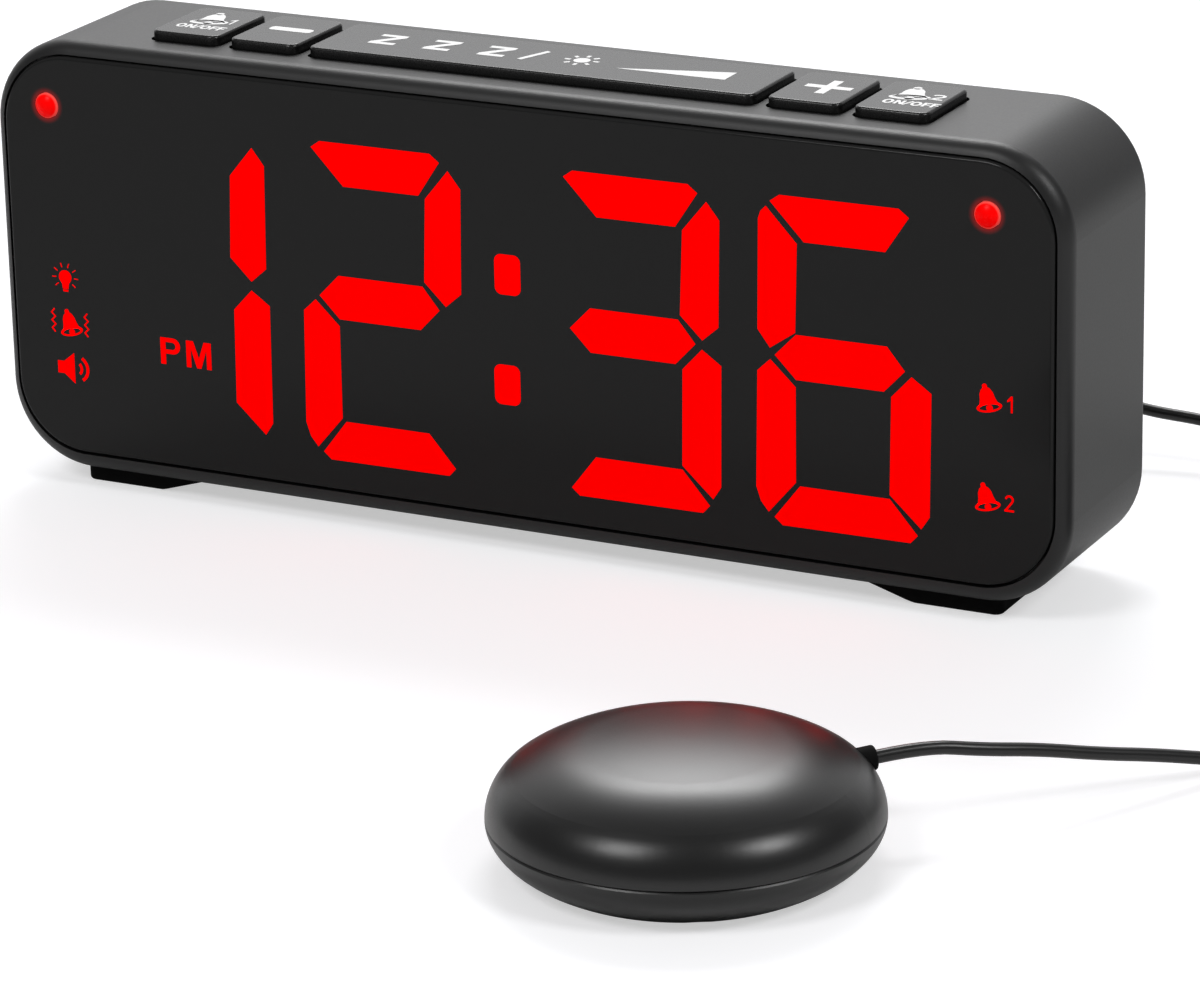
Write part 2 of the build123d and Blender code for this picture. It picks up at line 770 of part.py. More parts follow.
# Volume switch: a body with a trough on the main board and a knob that slides in it
volume_back = main_back + volume_body_height
volume_foot = volume_back - volume_foot_depth
with BuildPart() as volume_switch:
    with BuildSketch(face(main_back, volume_x + volume_travel / 2, rear_row_rise)):
        Rectangle(volume_body_length, volume_body_width)
    extrude(amount=-volume_body_height)
    with BuildSketch(face(volume_back, volume_x + volume_travel / 2, rear_row_rise)):
        Rectangle(volume_stem + volume_travel + 2 * volume_gap, volume_stem + 2 * volume_gap)
    extrude(amount=volume_foot_depth + volume_gap, mode=Mode.SUBTRACT)
save(volume_switch, "volume_switch")
with BuildPart() as volume_knob:
    with BuildSketch(face(volume_foot, volume_x, rear_row_rise)):
        Rectangle(volume_stem, volume_stem)
    extrude(amount=volume_foot - cover_back - flange_gap)
    with BuildSketch(face(cover_back + flange_gap, volume_x, rear_row_rise)):
        Rectangle(volume_knob_length, volume_knob_height)
    extrude(amount=-rear_button_proud)
save(volume_knob, "volume_knob")

# Jack for the shaker's plug
with BuildPart() as shaker_jack:
    with BuildSketch(face(main_back, jack_x, -jack_drop)):
        Rectangle(jack_size, jack_size)
    extrude(amount=main_back - cover_front)
    with BuildSketch(face(cover_front, jack_x, -jack_drop)):
        Circle(jack_nose_radius)
    extrude(amount=-cover_thickness)
    with BuildSketch(face(cover_back, jack_x, -jack_drop)):
        Circle(jack_bore_radius)
    extrude(amount=plug_pin_length + plug_gap, mode=Mode.SUBTRACT)
save(shaker_jack, "shaker_jack")

# Power inlet, a round socket with a centre pin
with BuildPart() as power_inlet:
    with BuildSketch(face(main_back, inlet_x, -jack_drop)):
        Rectangle(inlet_size, inlet_size)
    extrude(amount=main_back - cover_front)
    with BuildSketch(face(cover_front, inlet_x, -jack_drop)):
        Circle(inlet_nose_radius)
    extrude(amount=-cover_thickness)
    with BuildSketch(face(cover_back, inlet_x, -jack_drop)):
        Circle(inlet_bore_radius)
        Circle(inlet_pin_radius, mode=Mode.SUBTRACT)
    extrude(amount=inlet_bore_depth, mode=Mode.SUBTRACT)
save(power_inlet, "power_inlet")

# Speaker basket with its magnet, seated on the rear cover inside the ring
roll_radius = speaker_radius - speaker_roll
with BuildPart() as speaker_basket:
    with BuildSketch(turning_plane(cover_front, speaker_x, -speaker_drop)):
        magnet_front = speaker_magnet_height - speaker_depth
        Polygon((roll_radius, 0), (speaker_radius, 0), (speaker_radius, -speaker_flange),
                (roll_radius + speaker_basket_wall, -speaker_flange),
                (speaker_magnet_radius + speaker_basket_wall, magnet_front),
                (speaker_magnet_radius, magnet_front), (speaker_magnet_radius, -speaker_depth),
                (0, -speaker_depth), (0, magnet_front + speaker_basket_wall),
                (speaker_magnet_radius, magnet_front + speaker_basket_wall),
                (roll_radius, -speaker_flange), align=None)
    revolve(axis=turning_axis(speaker_x, -speaker_drop))
save(speaker_basket, "speaker_basket")

# Speaker cone, a thin paper dish with its dust cap, glued inside the basket's rim
cone_depth = speaker_flange + cone_drop
cone_edge = roll_radius - diffuser_fit
with BuildPart() as speaker_cone:
    with BuildSketch(turning_plane(cover_front, speaker_x, -speaker_drop)):
        Polygon((0, -cone_depth), (cone_apex_radius, -cone_depth), (cone_edge, -2 * cone_thickness),
                (cone_edge, -cone_thickness), (cone_apex_radius, -cone_depth + cone_thickness),
                (0, -cone_depth + cone_thickness), align=None)
    revolve(axis=turning_axis(speaker_x, -speaker_drop))
save(speaker_cone, "speaker_cone")

# Cell holder, a stepped cup on the inside of the rear cover
cell_back = cover_front - cap_lug_zone - cell_gap
cell_front = cell_back - cell_height
lug_zone_radius = cap_hub_radius + cap_lug_reach + 2 * cell_gap
with BuildPart() as cell_holder:
    with BuildSketch(turning_plane(cover_front, cell_x, -cell_drop)):
        holder_floor = cell_front - cover_front
        Polygon((lug_zone_radius, 0), (holder_flange_radius, 0), (holder_flange_radius, -holder_flange),
                (lug_zone_radius + holder_wall, -holder_flange),
                (lug_zone_radius + holder_wall, -cap_lug_zone - holder_wall),
                (cell_radius + cell_gap + holder_wall, -cap_lug_zone - holder_wall),
                (cell_radius + cell_gap + holder_wall, holder_floor - holder_wall), (0, holder_floor - holder_wall),
                (0, holder_floor), (cell_radius + cell_gap, holder_floor),
                (cell_radius + cell_gap, -cap_lug_zone), (lug_zone_radius, -cap_lug_zone), align=None)
    revolve(axis=turning_axis(cell_x, -cell_drop))
save(cell_holder, "cell_holder")

# Coin cell
with BuildPart() as coin_cell:
    with BuildSketch(face(cell_front, cell_x, -cell_drop)):
        Circle(cell_radius)
    extrude(amount=-cell_height)
    fillet(coin_cell.edges(), cell_edge_radius)
save(coin_cell, "coin_cell")

# Battery cap with a hub, two bayonet lugs and a coin slot
cap_front = cell_back + cell_gap
lug_back = cover_front - cap_clearance
with BuildPart() as battery_cap:
    with BuildSketch(face(cover_back, cell_x, -cell_drop)):
        Circle(cap_radius)
    extrude(amount=cap_thickness)
    with BuildSketch(face(cap_front, cell_x, -cell_drop)):
        Circle(cap_hub_radius)
    extrude(amount=cap_front - cover_back + cap_thickness)
    with BuildSketch(face(lug_back, cell_x, -cell_drop)):
        for turn in (cap_turn, cap_turn + 180):
            with BuildLine():
                reach = cap_hub_radius + cap_lug_reach
                first, last = radians(turn - cap_lug_angle / 2), radians(turn + cap_lug_angle / 2)
                CenterArc((0, 0), reach, degrees(first), cap_lug_angle)
                Polyline((reach * cos(last), reach * sin(last)), (0, 0), (reach * cos(first), reach * sin(first)))
            make_face()
    extrude(amount=cap_lug_thickness)
    with BuildSketch(face(cover_back, cell_x, -cell_drop)):
        SlotOverall(coin_slot_length, coin_slot_width)
    extrude(amount=coin_slot_depth, mode=Mode.SUBTRACT)
save(battery_cap, "battery_cap")

# Ribbon cables: from the display board back to the main board, and from the key board down to it
with BuildPart() as display_ribbon:
    with BuildSketch(face(board_back, main_x - main_width / 2 + ribbon_x, main_rise)):
        Rectangle(ribbon_width, ribbon_thickness)
    extrude(amount=board_back - main_front)
save(display_ribbon, "display_ribbon")
key_ribbon_depth = main_front - ribbon_thickness
with BuildPart() as key_ribbon:
    with BuildSketch(level(key_board_top - board_thickness, main_x, key_ribbon_depth + ribbon_thickness / 2)):
        Rectangle(ribbon_width, ribbon_thickness)
    extrude(amount=main_top - main_post_inset - key_board_top + board_thickness)
save(key_ribbon, "key_ribbon")

# Case screws through the rear cover
with BuildPart() as case_screws:
    with BuildSketch(face(cover_back - screw_head_height)):
        with GridLocations(2 * cover_boss_x, 2 * cover_boss_z, 2, 2):
            Circle(screw_head_radius)
    extrude(amount=-screw_head_height)
    with BuildSketch(face(cover_back - screw_head_height)):
        with GridLocations(2 * cover_boss_x, 2 * cover_boss_z, 2, 2):
            Circle(screw_pilot_radius)
    extrude(amount=cover_thickness - screw_head_height + screw_grip)
    with BuildSketch(face(cover_back)):
        with GridLocations(2 * cover_boss_x, 2 * cover_boss_z, 2, 2):
            Rectangle(drive_length, drive_width)
            Rectangle(drive_width, drive_length)
    extrude(amount=screw_head_height / 2, mode=Mode.SUBTRACT)
save(case_screws, "case_screws")

# Board screws: four behind the display board, four under the key board and four before the main board
with BuildPart() as board_screws:
    screw_seats = ((face(board_back), 2 * boss_x, 2 * boss_rise, -1),
                   (level(key_board_top - board_thickness, 0, key_board_middle),
                    2 * key_post_x, key_post_spacing, -1),
                   (face(main_front, main_x, main_rise), main_post_x, main_post_z, 1))
    for seat, spacing_x, spacing_y, outward in screw_seats:
        for radius, length in ((board_screw_head, board_screw_head_height * outward),
                               (board_screw_radius, -(board_thickness + board_screw_grip) * outward)):
            with BuildSketch(seat):
                with GridLocations(spacing_x, spacing_y, 2, 2):
                    Circle(radius)
            extrude(amount=length)
save(board_screws, "board_screws")

# Feet: flat under the outer end, sloping up inward, with two pegs each into the case
for name, side in (("left_foot", -1), ("right_foot", 1)):
    with BuildPart() as foot:
        outer = case_width / 2 - foot_outer_inset
        with BuildSketch(face(foot_front_inset, 0, -case_mid)):
            Polygon((side * outer, 0), (side * (outer - foot_flat), 0),
                    (side * (outer - foot_flat - foot_slope), foot_height), (side * outer, foot_height), align=None)
        extrude(amount=-foot_length)
        upright = foot.edges().filter_by(Axis.Z)
        fillet(upright, foot_corner)
        fillet(foot.faces().sort_by(Axis.Z)[0].edges(), foot_edge_radius)
        with BuildSketch(level(case_bottom, side * foot_peg_x, foot_peg_depth)):
            with GridLocations(1, foot_peg_spacing, 1, 2):
                Circle(foot_peg_radius)
        extrude(amount=case_wall)
    save(foot, name)

# Shaker sections: above the seam a wide crown, a haunch and a rounded shoulder that run into each other, and half an
# oval below it. The crown and the haunch are sized so that the three arcs reach the dome's height and edge
crown_end, haunch_end = radians(crown_lean), radians(haunch_lean)
arcs_reach = shaker_radius - shoulder_radius * (1 - sin(haunch_end))
arcs_rise = dome_height - shoulder_radius * cos(haunch_end)
haunch_reach = sin(haunch_end) - sin(crown_end)
haunch_rise = cos(crown_end) - cos(haunch_end)
crown_rise = 1 - cos(crown_end)
arcs_share = sin(crown_end) * haunch_rise - crown_rise * haunch_reach
crown_radius = (arcs_reach * haunch_rise - arcs_rise * haunch_reach) / arcs_share
haunch_radius = (arcs_rise * sin(crown_end) - arcs_reach * crown_rise) / arcs_share
crown_middle = seam_height + dome_height - crown_radius
lower_height = seam_height / sqrt(1 - (base_radius / shaker_radius)**2)
shaker_section = Plane(origin=(shaker_x, shaker_y, 0), x_dir=(1, 0, 0), z_dir=(0, -1, 0))
shaker_axis = Axis((shaker_x, shaker_y, 0), (0, 0, 1))
shaker_floor = shell_wall
screw_angles = (60, 180, 300)


def crown_section(inset):
    """Section of the upper shell, drawn inset from its outside."""
    with BuildSketch(Plane.XY) as section:
        with BuildLine(Plane.XY):
            shoulder = CenterArc((shaker_radius - shoulder_radius, seam_height), shoulder_radius - inset, 0,
                                 90 - haunch_lean)
            haunch_arm = crown_radius - haunch_radius
            CenterArc((haunch_arm * sin(crown_end), crown_middle + haunch_arm * cos(crown_end)), haunch_radius - inset,
                      90 - haunch_lean, haunch_lean - crown_lean)
            crown = CenterArc((0, crown_middle), crown_radius - inset, 90 - crown_lean, crown_lean)
            Polyline(crown @ 1, (0, seam_height), shoulder @ 0)
        make_face()
    return section.sketch


def base_section(inset, floor):
    """Section of the lower shell, drawn inset from its outside and cut flat at its floor."""
    oval_width, oval_height = shaker_radius - inset, lower_height - inset
    drop = degrees(asin((seam_height - floor) / oval_height))
    with BuildSketch(Plane.XY) as section:
        with BuildLine(Plane.XY):
            side = EllipticalCenterArc((0, seam_height), oval_width, oval_height, start_angle=-drop, arc_size=drop)
            Polyline(side @ 1, (0, seam_height), (0, floor), side @ 0)
        make_face()
    return section.sketch


def shell_screw_places(radius):
    with PolarLocations(shell_screw_circle, len(screw_angles), start_angle=screw_angles[0]):
        Circle(radius)


def shaker_level(height):
    return Plane(origin=(shaker_x, shaker_y, height))


# Grommet axis, through the shoulder of the upper shell
grommet_radial = shaker_radius - shoulder_radius + sqrt(shoulder_radius**2 - grommet_rise**2)
heading, tilt = radians(grommet_azimuth), radians(grommet_tilt)
grommet_seat = Vector(shaker_x + grommet_radial * cos(heading), shaker_y + grommet_radial * sin(heading),
                      seam_height + grommet_rise)
grommet_axis = Vector(cos(tilt) * cos(heading), cos(tilt) * sin(heading), sin(tilt))
grommet_plane = Plane(origin=grommet_seat, z_dir=grommet_axis)

# Hollow of the upper shell, less the screw bosses
with BuildPart() as crown_hollow:
    with BuildSketch(shaker_section):
        add(crown_section(shell_wall))
    revolve(axis=shaker_axis)
    with BuildSketch(shaker_level(seam_height)):
        shell_screw_places(shell_boss_radius)
    extrude(amount=dome_height, mode=Mode.SUBTRACT)

# Upper shell of the shaker
with BuildPart() as shaker_top_shell:
    with BuildSketch(shaker_section):
        add(crown_section(0))
    revolve(axis=shaker_axis)
    chamfer(shaker_top_shell.edges().group_by(Axis.Z)[0], seam_chamfer)
    add(crown_hollow.part, mode=Mode.SUBTRACT)
    with BuildSketch(shaker_level(seam_height)):
        shell_screw_places(shell_screw_radius)
    extrude(amount=shell_screw_grip, mode=Mode.SUBTRACT)
    with BuildSketch(grommet_plane.offset(-grommet_depth)):
        Circle(grommet_radius)
    extrude(amount=2 * grommet_depth, mode=Mode.SUBTRACT)
save(shaker_top_shell, "shaker_top_shell")

# Hollow of the lower shell, less the screw bosses, the motor cradle and the clamp bosses
motor_front = motor_back + motor_length
motor_bottom = motor_axis_height - motor_can_height / 2
cradle_places = (motor_back + cradle_inset + cradle_width / 2, motor_front - cradle_inset - cradle_width / 2)
clamp_x = (motor_back + motor_front) / 2
clamp_ear_y = motor_width / 2 + clamp_gap + clamp_thickness + clamp_ear / 2
with BuildPart() as base_hollow:
    with BuildSketch(shaker_section):
        add(base_section(shell_wall, shaker_floor))
    revolve(axis=shaker_axis)
    with BuildSketch(shaker_level(shaker_floor)):
        shell_screw_places(shell_boss_radius)
    extrude(amount=seam_height, mode=Mode.SUBTRACT)
    with BuildSketch(shaker_level(shaker_floor)):
        for x in cradle_places:
            with Locations((x, 0)):
                Rectangle(cradle_width, motor_width)
        with Locations((clamp_x, clamp_ear_y), (clamp_x, -clamp_ear_y)):
            Circle(clamp_ear / 2)
    extrude(amount=motor_bottom - shaker_floor, mode=Mode.SUBTRACT)

# Lower shell of the shaker, with screws let in from below
with BuildPart() as shaker_bottom_shell:
    with BuildSketch(shaker_section):
        add(base_section(0, 0))
    revolve(axis=shaker_axis)
    chamfer(shaker_bottom_shell.edges().group_by(Axis.Z)[-1], seam_chamfer)
    add(base_hollow.part, mode=Mode.SUBTRACT)
    with BuildSketch(shaker_level(0)):
        shell_screw_places(shell_screw_head + screw_clearance)
    extrude(amount=shell_screw_seat, mode=Mode.SUBTRACT)
    with BuildSketch(shaker_level(0)):
        shell_screw_places(shell_screw_radius + screw_clearance)
    extrude(amount=seam_height, mode=Mode.SUBTRACT)
    with BuildSketch(shaker_level(motor_bottom)):
        with Locations((clamp_x, clamp_ear_y), (clamp_x, -clamp_ear_y)):
            Circle(board_screw_radius)
    extrude(amount=-clamp_screw_grip, mode=Mode.SUBTRACT)
save(shaker_bottom_shell, "shaker_bottom_shell")

# Screws that hold the two shells together
with BuildPart() as shaker_screws:
    with BuildSketch(shaker_level(shell_screw_seat - shell_screw_head_height)):
        shell_screw_places(shell_screw_head)
    extrude(amount=shell_screw_head_height)
    with BuildSketch(shaker_level(shell_screw_seat)):
        shell_screw_places(shell_screw_radius)
    extrude(amount=seam_height - shell_screw_seat + shell_screw_grip)
save(shaker_screws, "shaker_screws")


def motor_plane(x):
    """Plane across the motor's axis, facing along it, at a distance along the axis from the shaker's middle."""
    return Plane(origin=(shaker_x + x, shaker_y, motor_axis_height), x_dir=(0, 1, 0), z_dir=(1, 0, 0))


# Vibration motor, a flat-sided can in the cradle
with BuildPart() as vibration_motor:
    with BuildSketch(motor_plane(motor_back)):
        with BuildLine():
            can_round = sqrt((motor_width / 2)**2 - (motor_can_height / 2)**2)
            for side in (-1, 1):
                ThreePointArc((side * can_round, -motor_can_height / 2), (side * motor_width / 2, 0),
                              (side * can_round, motor_can_height / 2))
            for side in (-1, 1):
                Line((-can_round, side * motor_can_height / 2), (can_round, side * motor_can_height / 2))
        make_face()
    extrude(amount=motor_length)
    with BuildSketch(motor_plane(motor_front)):
        Circle(motor_nose_radius)
    extrude(amount=motor_nose_length)
    with BuildSketch(motor_plane(motor_front + motor_nose_length)):
        Circle(shaft_radius + shaft_clearance)
    extrude(amount=-shaft_depth - shaft_clearance - motor_nose_length, mode=Mode.SUBTRACT)
save(vibration_motor, "vibration_motor")

# Motor shaft
with BuildPart() as motor_shaft:
    with BuildSketch(motor_plane(motor_front - shaft_depth)):
        Circle(shaft_radius)
    extrude(amount=shaft_depth + shaft_reach)
save(motor_shaft, "motor_shaft")

# Eccentric weight, a half disc that hangs below the shaft
weight_back = motor_front + motor_nose_length + weight_gap
with BuildPart() as eccentric_weight:
    with BuildSketch(motor_plane(weight_back)):
        Circle(weight_radius)
        with Locations((0, weight_radius / 2)):
            Rectangle(2 * weight_radius, weight_radius, mode=Mode.SUBTRACT)
        Circle(weight_hub_radius)
        Circle(shaft_radius, mode=Mode.SUBTRACT)
    extrude(amount=weight_length)
save(eccentric_weight, "eccentric_weight")

# Motor clamp, a bent strap with two ears
with BuildPart() as motor_clamp:
    half_inside = motor_width / 2 + clamp_gap
    strap_top = motor_can_height / 2 + clamp_gap
    strap_foot = -motor_can_height / 2
    with BuildSketch(motor_plane(clamp_x - clamp_width / 2)):
        Polygon((-half_inside - clamp_thickness - clamp_ear, strap_foot), (-half_inside, strap_foot),
                (-half_inside, strap_top), (half_inside, strap_top), (half_inside, strap_foot),
                (half_inside + clamp_thickness + clamp_ear, strap_foot),
                (half_inside + clamp_thickness + clamp_ear, strap_foot + clamp_thickness),
                (half_inside + clamp_thickness, strap_foot + clamp_thickness),
                (half_inside + clamp_thickness, strap_top + clamp_thickness),
                (-half_inside - clamp_thickness, strap_top + clamp_thickness),
                (-half_inside - clamp_thickness, strap_foot + clamp_thickness),
                (-half_inside - clamp_thickness - clamp_ear, strap_foot + clamp_thickness), align=None)
    extrude(amount=clamp_width)
    with BuildSketch(shaker_level(motor_bottom)):
        with Locations((clamp_x, clamp_ear_y), (clamp_x, -clamp_ear_y)):
            Circle(board_screw_radius + screw_clearance)
    extrude(amount=clamp_thickness, mode=Mode.SUBTRACT)
save(motor_clamp, "motor_clamp")

# Screws that hold the clamp
with BuildPart() as clamp_screws:
    for radius, length in ((board_screw_head, clamp_screw_head_height),
                           (board_screw_radius, -clamp_thickness - clamp_screw_grip)):
        with BuildSketch(shaker_level(motor_bottom + clamp_thickness)):
            with Locations((clamp_x, clamp_ear_y), (clamp_x, -clamp_ear_y)):
                Circle(radius)
        extrude(amount=length)
save(clamp_screws, "clamp_screws")

# Rubber grommet in the shoulder of the upper shell
with BuildPart() as lead_grommet:
    with BuildSketch(grommet_plane.offset(-grommet_depth)):
        Circle(grommet_radius)
    extrude(amount=grommet_depth + grommet_proud)
    fillet(lead_grommet.edges().group_by(Axis(grommet_seat, grommet_axis))[-1], grommet_edge_radius)
save(lead_grommet, "lead_grommet")

# Plug of the lead, in the clock's jack
plug_front = cover_back + plug_gap
plug_back = plug_front + plug_body_length + plug_relief_length
with BuildPart() as lead_plug:
    with BuildSketch(face(plug_front, jack_x, -jack_drop)):
        Circle(plug_body_radius)
    extrude(amount=-plug_body_length)
    fillet(lead_plug.edges().group_by(Axis.Y)[-1], plug_edge_radius)
    with BuildSketch(face(plug_front + plug_body_length, jack_x, -jack_drop)):
        Circle(plug_relief_radius)
    with BuildSketch(face(plug_back, jack_x, -jack_drop)):
        Circle(lead_radius)
    loft()
    with BuildSketch(face(plug_front, jack_x, -jack_drop)):
        Circle(plug_pin_radius)
    extrude(amount=plug_pin_length)
save(lead_plug, "lead_plug")


def lead_run(name, points):
    """A free stretch of the lead: straight runs joined by arcs as large as the runs allow."""
    points = [Vector(point) for point in points]
    radii = []
    for before, here, after in zip(points, points[1:], points[2:]):
        turn = (here - before).get_angle(after - here)
        shorter = min((here - before).length, (after - here).length)
        radii.append(bend_share * shorter / tan(radians(turn / 2)))
    with BuildPart() as run:
        with BuildLine() as path:
            FilletPolyline(*points, radius=radii)
        with BuildSketch(Plane(origin=points[0], z_dir=points[1] - points[0])):
            Circle(lead_radius)
        sweep()
    length = sum(edge.length for edge in path.edges())
    print(name, "radii", [round(radius, 1) for radius in radii], "length", round(length, 1),
          "volume ratio", round(run.part.volume / (pi * lead_radius**2 * length), 4))
    save(run, name)
    return length


# Coil of the spare length: half circles that spiral in and out again, climbing where the spiral reverses
coil_low = tie_thickness + tie_clearance + lead_radius
coil_points = []
radius, height, step = coil_outer_radius, coil_low, -coil_pitch / 2
for layer in range(coil_layers):
    last_layer = layer == coil_layers - 1
    for count in range(half_turns_per_layer + (2 if last_layer else 1)):
        side = 1 if len(coil_points) % 2 == 0 else -1
        coil_points.append(Vector(coil_x + side * radius, coil_y, height))
        radius += step
    radius -= step
    step = -step
    height += coil_pitch
lead_tail = Vector(0, 2 * lead_radius, 0)
coil_start = coil_points[0] + lead_tail
coil_end = coil_points[-1] - lead_tail
sample_points = []
with BuildPart() as lead_coil:
    with BuildLine() as coil_path:
        Line(coil_start, coil_points[0])
        for index, (here, after) in enumerate(zip(coil_points, coil_points[1:])):
            bulge = -1 if index % 2 == 0 else 1
            middle = (here + after) / 2 + Vector(0, bulge * (after - here).length / 2, 0)
            arc = ThreePointArc(here, middle, after)
            sample_points += [arc @ (share / samples_per_arc) for share in range(samples_per_arc)]
        Line(coil_points[-1], coil_end)
    with BuildSketch(Plane(origin=coil_start, x_dir=(1, 0, 0), z_dir=(0, -1, 0))):
        Circle(lead_radius)
    sweep()
least_gap = min((one - two).length for index, one in enumerate(sample_points)
                for two in sample_points[index + samples_apart:]) - 2 * lead_radius
coil_length = sum(edge.length for edge in coil_path.edges())
print("lead_coil turns", (len(coil_points) - 1) / 2, "length", round(coil_length, 1), "least gap", round(least_gap, 2),
      "volume ratio", round(lead_coil.part.volume / (pi * lead_radius**2 * coil_length), 4))
save(lead_coil, "lead_coil")

# Tie round the coil, on the side away from its ends
inner_turn = coil_outer_radius - half_turns_per_layer * coil_pitch / 2
tie_inside = inner_turn - lead_radius - tie_clearance
tie_outside = coil_outer_radius + lead_radius + tie_clearance
tie_low = tie_thickness
tie_high = coil_low + (coil_layers - 1) * coil_pitch + lead_radius + tie_clearance
with BuildPart() as coil_tie:
    tie_middle = (coil_x - (tie_inside + tie_outside) / 2, coil_y + tie_width / 2, (tie_low + tie_high) / 2)
    with BuildSketch(Plane(origin=tie_middle, x_dir=(1, 0, 0), z_dir=(0, -1, 0))):
        RectangleRounded(tie_outside - tie_inside + 2 * tie_thickness, tie_high - tie_low + 2 * tie_thickness,
                         tie_corner + tie_thickness)
        RectangleRounded(tie_outside - tie_inside, tie_high - tie_low, tie_corner, mode=Mode.SUBTRACT)
    extrude(amount=tie_width)
save(coil_tie, "coil_tie")

# Route of the lead from the plug to the coil, and from the coil to the grommet
plug_end = Vector(clock_x + jack_x, clock_front + plug_back, case_mid - jack_drop)
grommet_end = grommet_seat + grommet_axis * grommet_proud
behind_clock = [(52.0, 72.75, 19.8), (57.5, 78.55, 15.2), (65.8, 81.65, 11.0), (75.5, 82.85, 8.6), (85.5, 83.95, 7.9),
                (97.0, 83.65, 6.6), (109.0, 80.95, 5.1), (121.0, 75.75, 3.9), (132.5, 67.95, 3.1),
                (143.0, 57.95, 2.7), (152.0, 46.25, 2.5)]
beside_clock = [(157.5, -9.75, 6.6), (150.5, -21.25, 2.6), (143.6, -33.7, 1.3), (136.85, -42.95, 2.2)]
beside_shaker = [(50.0, 51.25, 4.9), (43.7, 43.3, 7.0), (37.6, 36.0, 9.35), (31.75, 29.15, 10.9)]
clock_origin = Vector(clock_x, clock_front, 0)
shaker_origin = Vector(shaker_x, shaker_y, 0)
clock_route = [plug_end, plug_end + Vector(0, lead_straight, 0)]
clock_route += [clock_origin + Vector(point) for point in behind_clock]
clock_route += [coil_start + Vector(0, coil_straight, 0), coil_start]
shaker_route = [coil_end, coil_end - Vector(0, coil_straight, 0)]
shaker_route += [clock_origin + Vector(point) for point in beside_clock]
shaker_route += [shaker_origin + Vector(point) for point in beside_shaker]
shaker_route += [grommet_end + grommet_axis * lead_straight, grommet_end]
lead_length = lead_run("clock_lead", clock_route) + coil_length + lead_run("shaker_lead", shaker_route)
print("whole lead", round(lead_length, 1))
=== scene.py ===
import math

import bmesh
import bpy
from mathutils import Matrix, Vector


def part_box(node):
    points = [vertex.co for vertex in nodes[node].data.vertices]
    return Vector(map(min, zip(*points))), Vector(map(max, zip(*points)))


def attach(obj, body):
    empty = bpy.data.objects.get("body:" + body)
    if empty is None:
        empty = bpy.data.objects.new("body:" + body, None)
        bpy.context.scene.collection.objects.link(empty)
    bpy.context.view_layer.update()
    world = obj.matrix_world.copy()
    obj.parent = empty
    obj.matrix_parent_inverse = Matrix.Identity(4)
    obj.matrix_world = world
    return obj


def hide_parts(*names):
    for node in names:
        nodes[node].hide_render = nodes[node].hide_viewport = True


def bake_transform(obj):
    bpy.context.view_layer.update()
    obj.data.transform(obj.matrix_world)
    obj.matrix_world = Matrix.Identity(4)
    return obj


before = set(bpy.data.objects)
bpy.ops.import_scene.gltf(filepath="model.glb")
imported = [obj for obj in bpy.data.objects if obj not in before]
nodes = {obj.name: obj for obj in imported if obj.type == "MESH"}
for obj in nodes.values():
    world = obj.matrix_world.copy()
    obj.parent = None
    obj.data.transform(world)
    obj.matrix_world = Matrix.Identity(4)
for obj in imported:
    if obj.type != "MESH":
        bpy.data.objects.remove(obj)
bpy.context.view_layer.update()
mm = 0.001
print("frame loaded:", len(nodes), "nodes")

scene = bpy.context.scene
scene.view_settings.view_transform = "Standard"

# the clock's own origin is on the table under the middle of its front, the shaker's under its middle
lensProud = 0.15
lensLow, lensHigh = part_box("front_lens")
crownLow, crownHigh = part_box("shaker_top_shell")
clockOrigin = Vector(((lensLow.x + lensHigh.x) / 2, lensLow.y + lensProud * mm, 0))
shakerOrigin = Vector(((crownLow.x + crownHigh.x) / 2, (crownLow.y + crownHigh.y) / 2, 0))


def atClock(place):
    return clockOrigin + Vector(place) * mm


def atShaker(place):
    return shakerOrigin + Vector(place) * mm


# camera, fitted to the edges of the clock in the photograph

photoCamera = {
    "place": (384.6, -720.1, 292.5),  # mm from the clock's origin
    "yaw": 27.14,
    "pitch": 19.12,
    "roll": -1.25,
    "lens": 162.1,
    "sensor": 36.0,
}


def aimCamera(settings):
    data = bpy.data.cameras.new("photoCamera")
    data.lens = settings["lens"]
    data.sensor_width = settings["sensor"]
    yaw, pitch, roll = (math.radians(settings[name]) for name in ("yaw", "pitch", "roll"))
    back = Vector((math.sin(yaw) * math.cos(pitch), -math.cos(yaw) * math.cos(pitch), math.sin(pitch)))
    right = Vector((math.cos(yaw), math.sin(yaw), 0))
    up = back.cross(right)
    rolledRight = right * math.cos(roll) + up * math.sin(roll)
    rolledUp = up * math.cos(roll) - right * math.sin(roll)
    camera = bpy.data.objects.new("photoCamera", data)
    camera.matrix_world = Matrix((rolledRight, rolledUp, back)).transposed().to_4x4()
    camera.matrix_world.translation = atClock(settings["place"])
    scene.collection.objects.link(camera)
    scene.camera = camera


aimCamera(photoCamera)
print("camera placed")


# small helpers

def linearColour(hexText):
    # the sRGB curve, from a hex value to linear light
    channels = [int(hexText[i:i + 2], 16) / 255 for i in (1, 3, 5)]
    return [c / 12.92 if c <= 0.04045 else ((c + 0.055) / 1.055) ** 2.4 for c in channels] + [1.0]


# where the Mix node keeps its sockets for colours
mixShare, mixFirst, mixSecond, mixResult = 0, 6, 7, 2


def addNode(tree, kind, inputs=None, **settings):
    node = tree.nodes.new(kind)
    for name, value in settings.items():
        setattr(node, name, value)
    for name, value in (inputs or {}).items():
        if isinstance(value, bpy.types.NodeSocket):
            tree.links.new(value, node.inputs[name])
        else:
            node.inputs[name].default_value = value
    return node


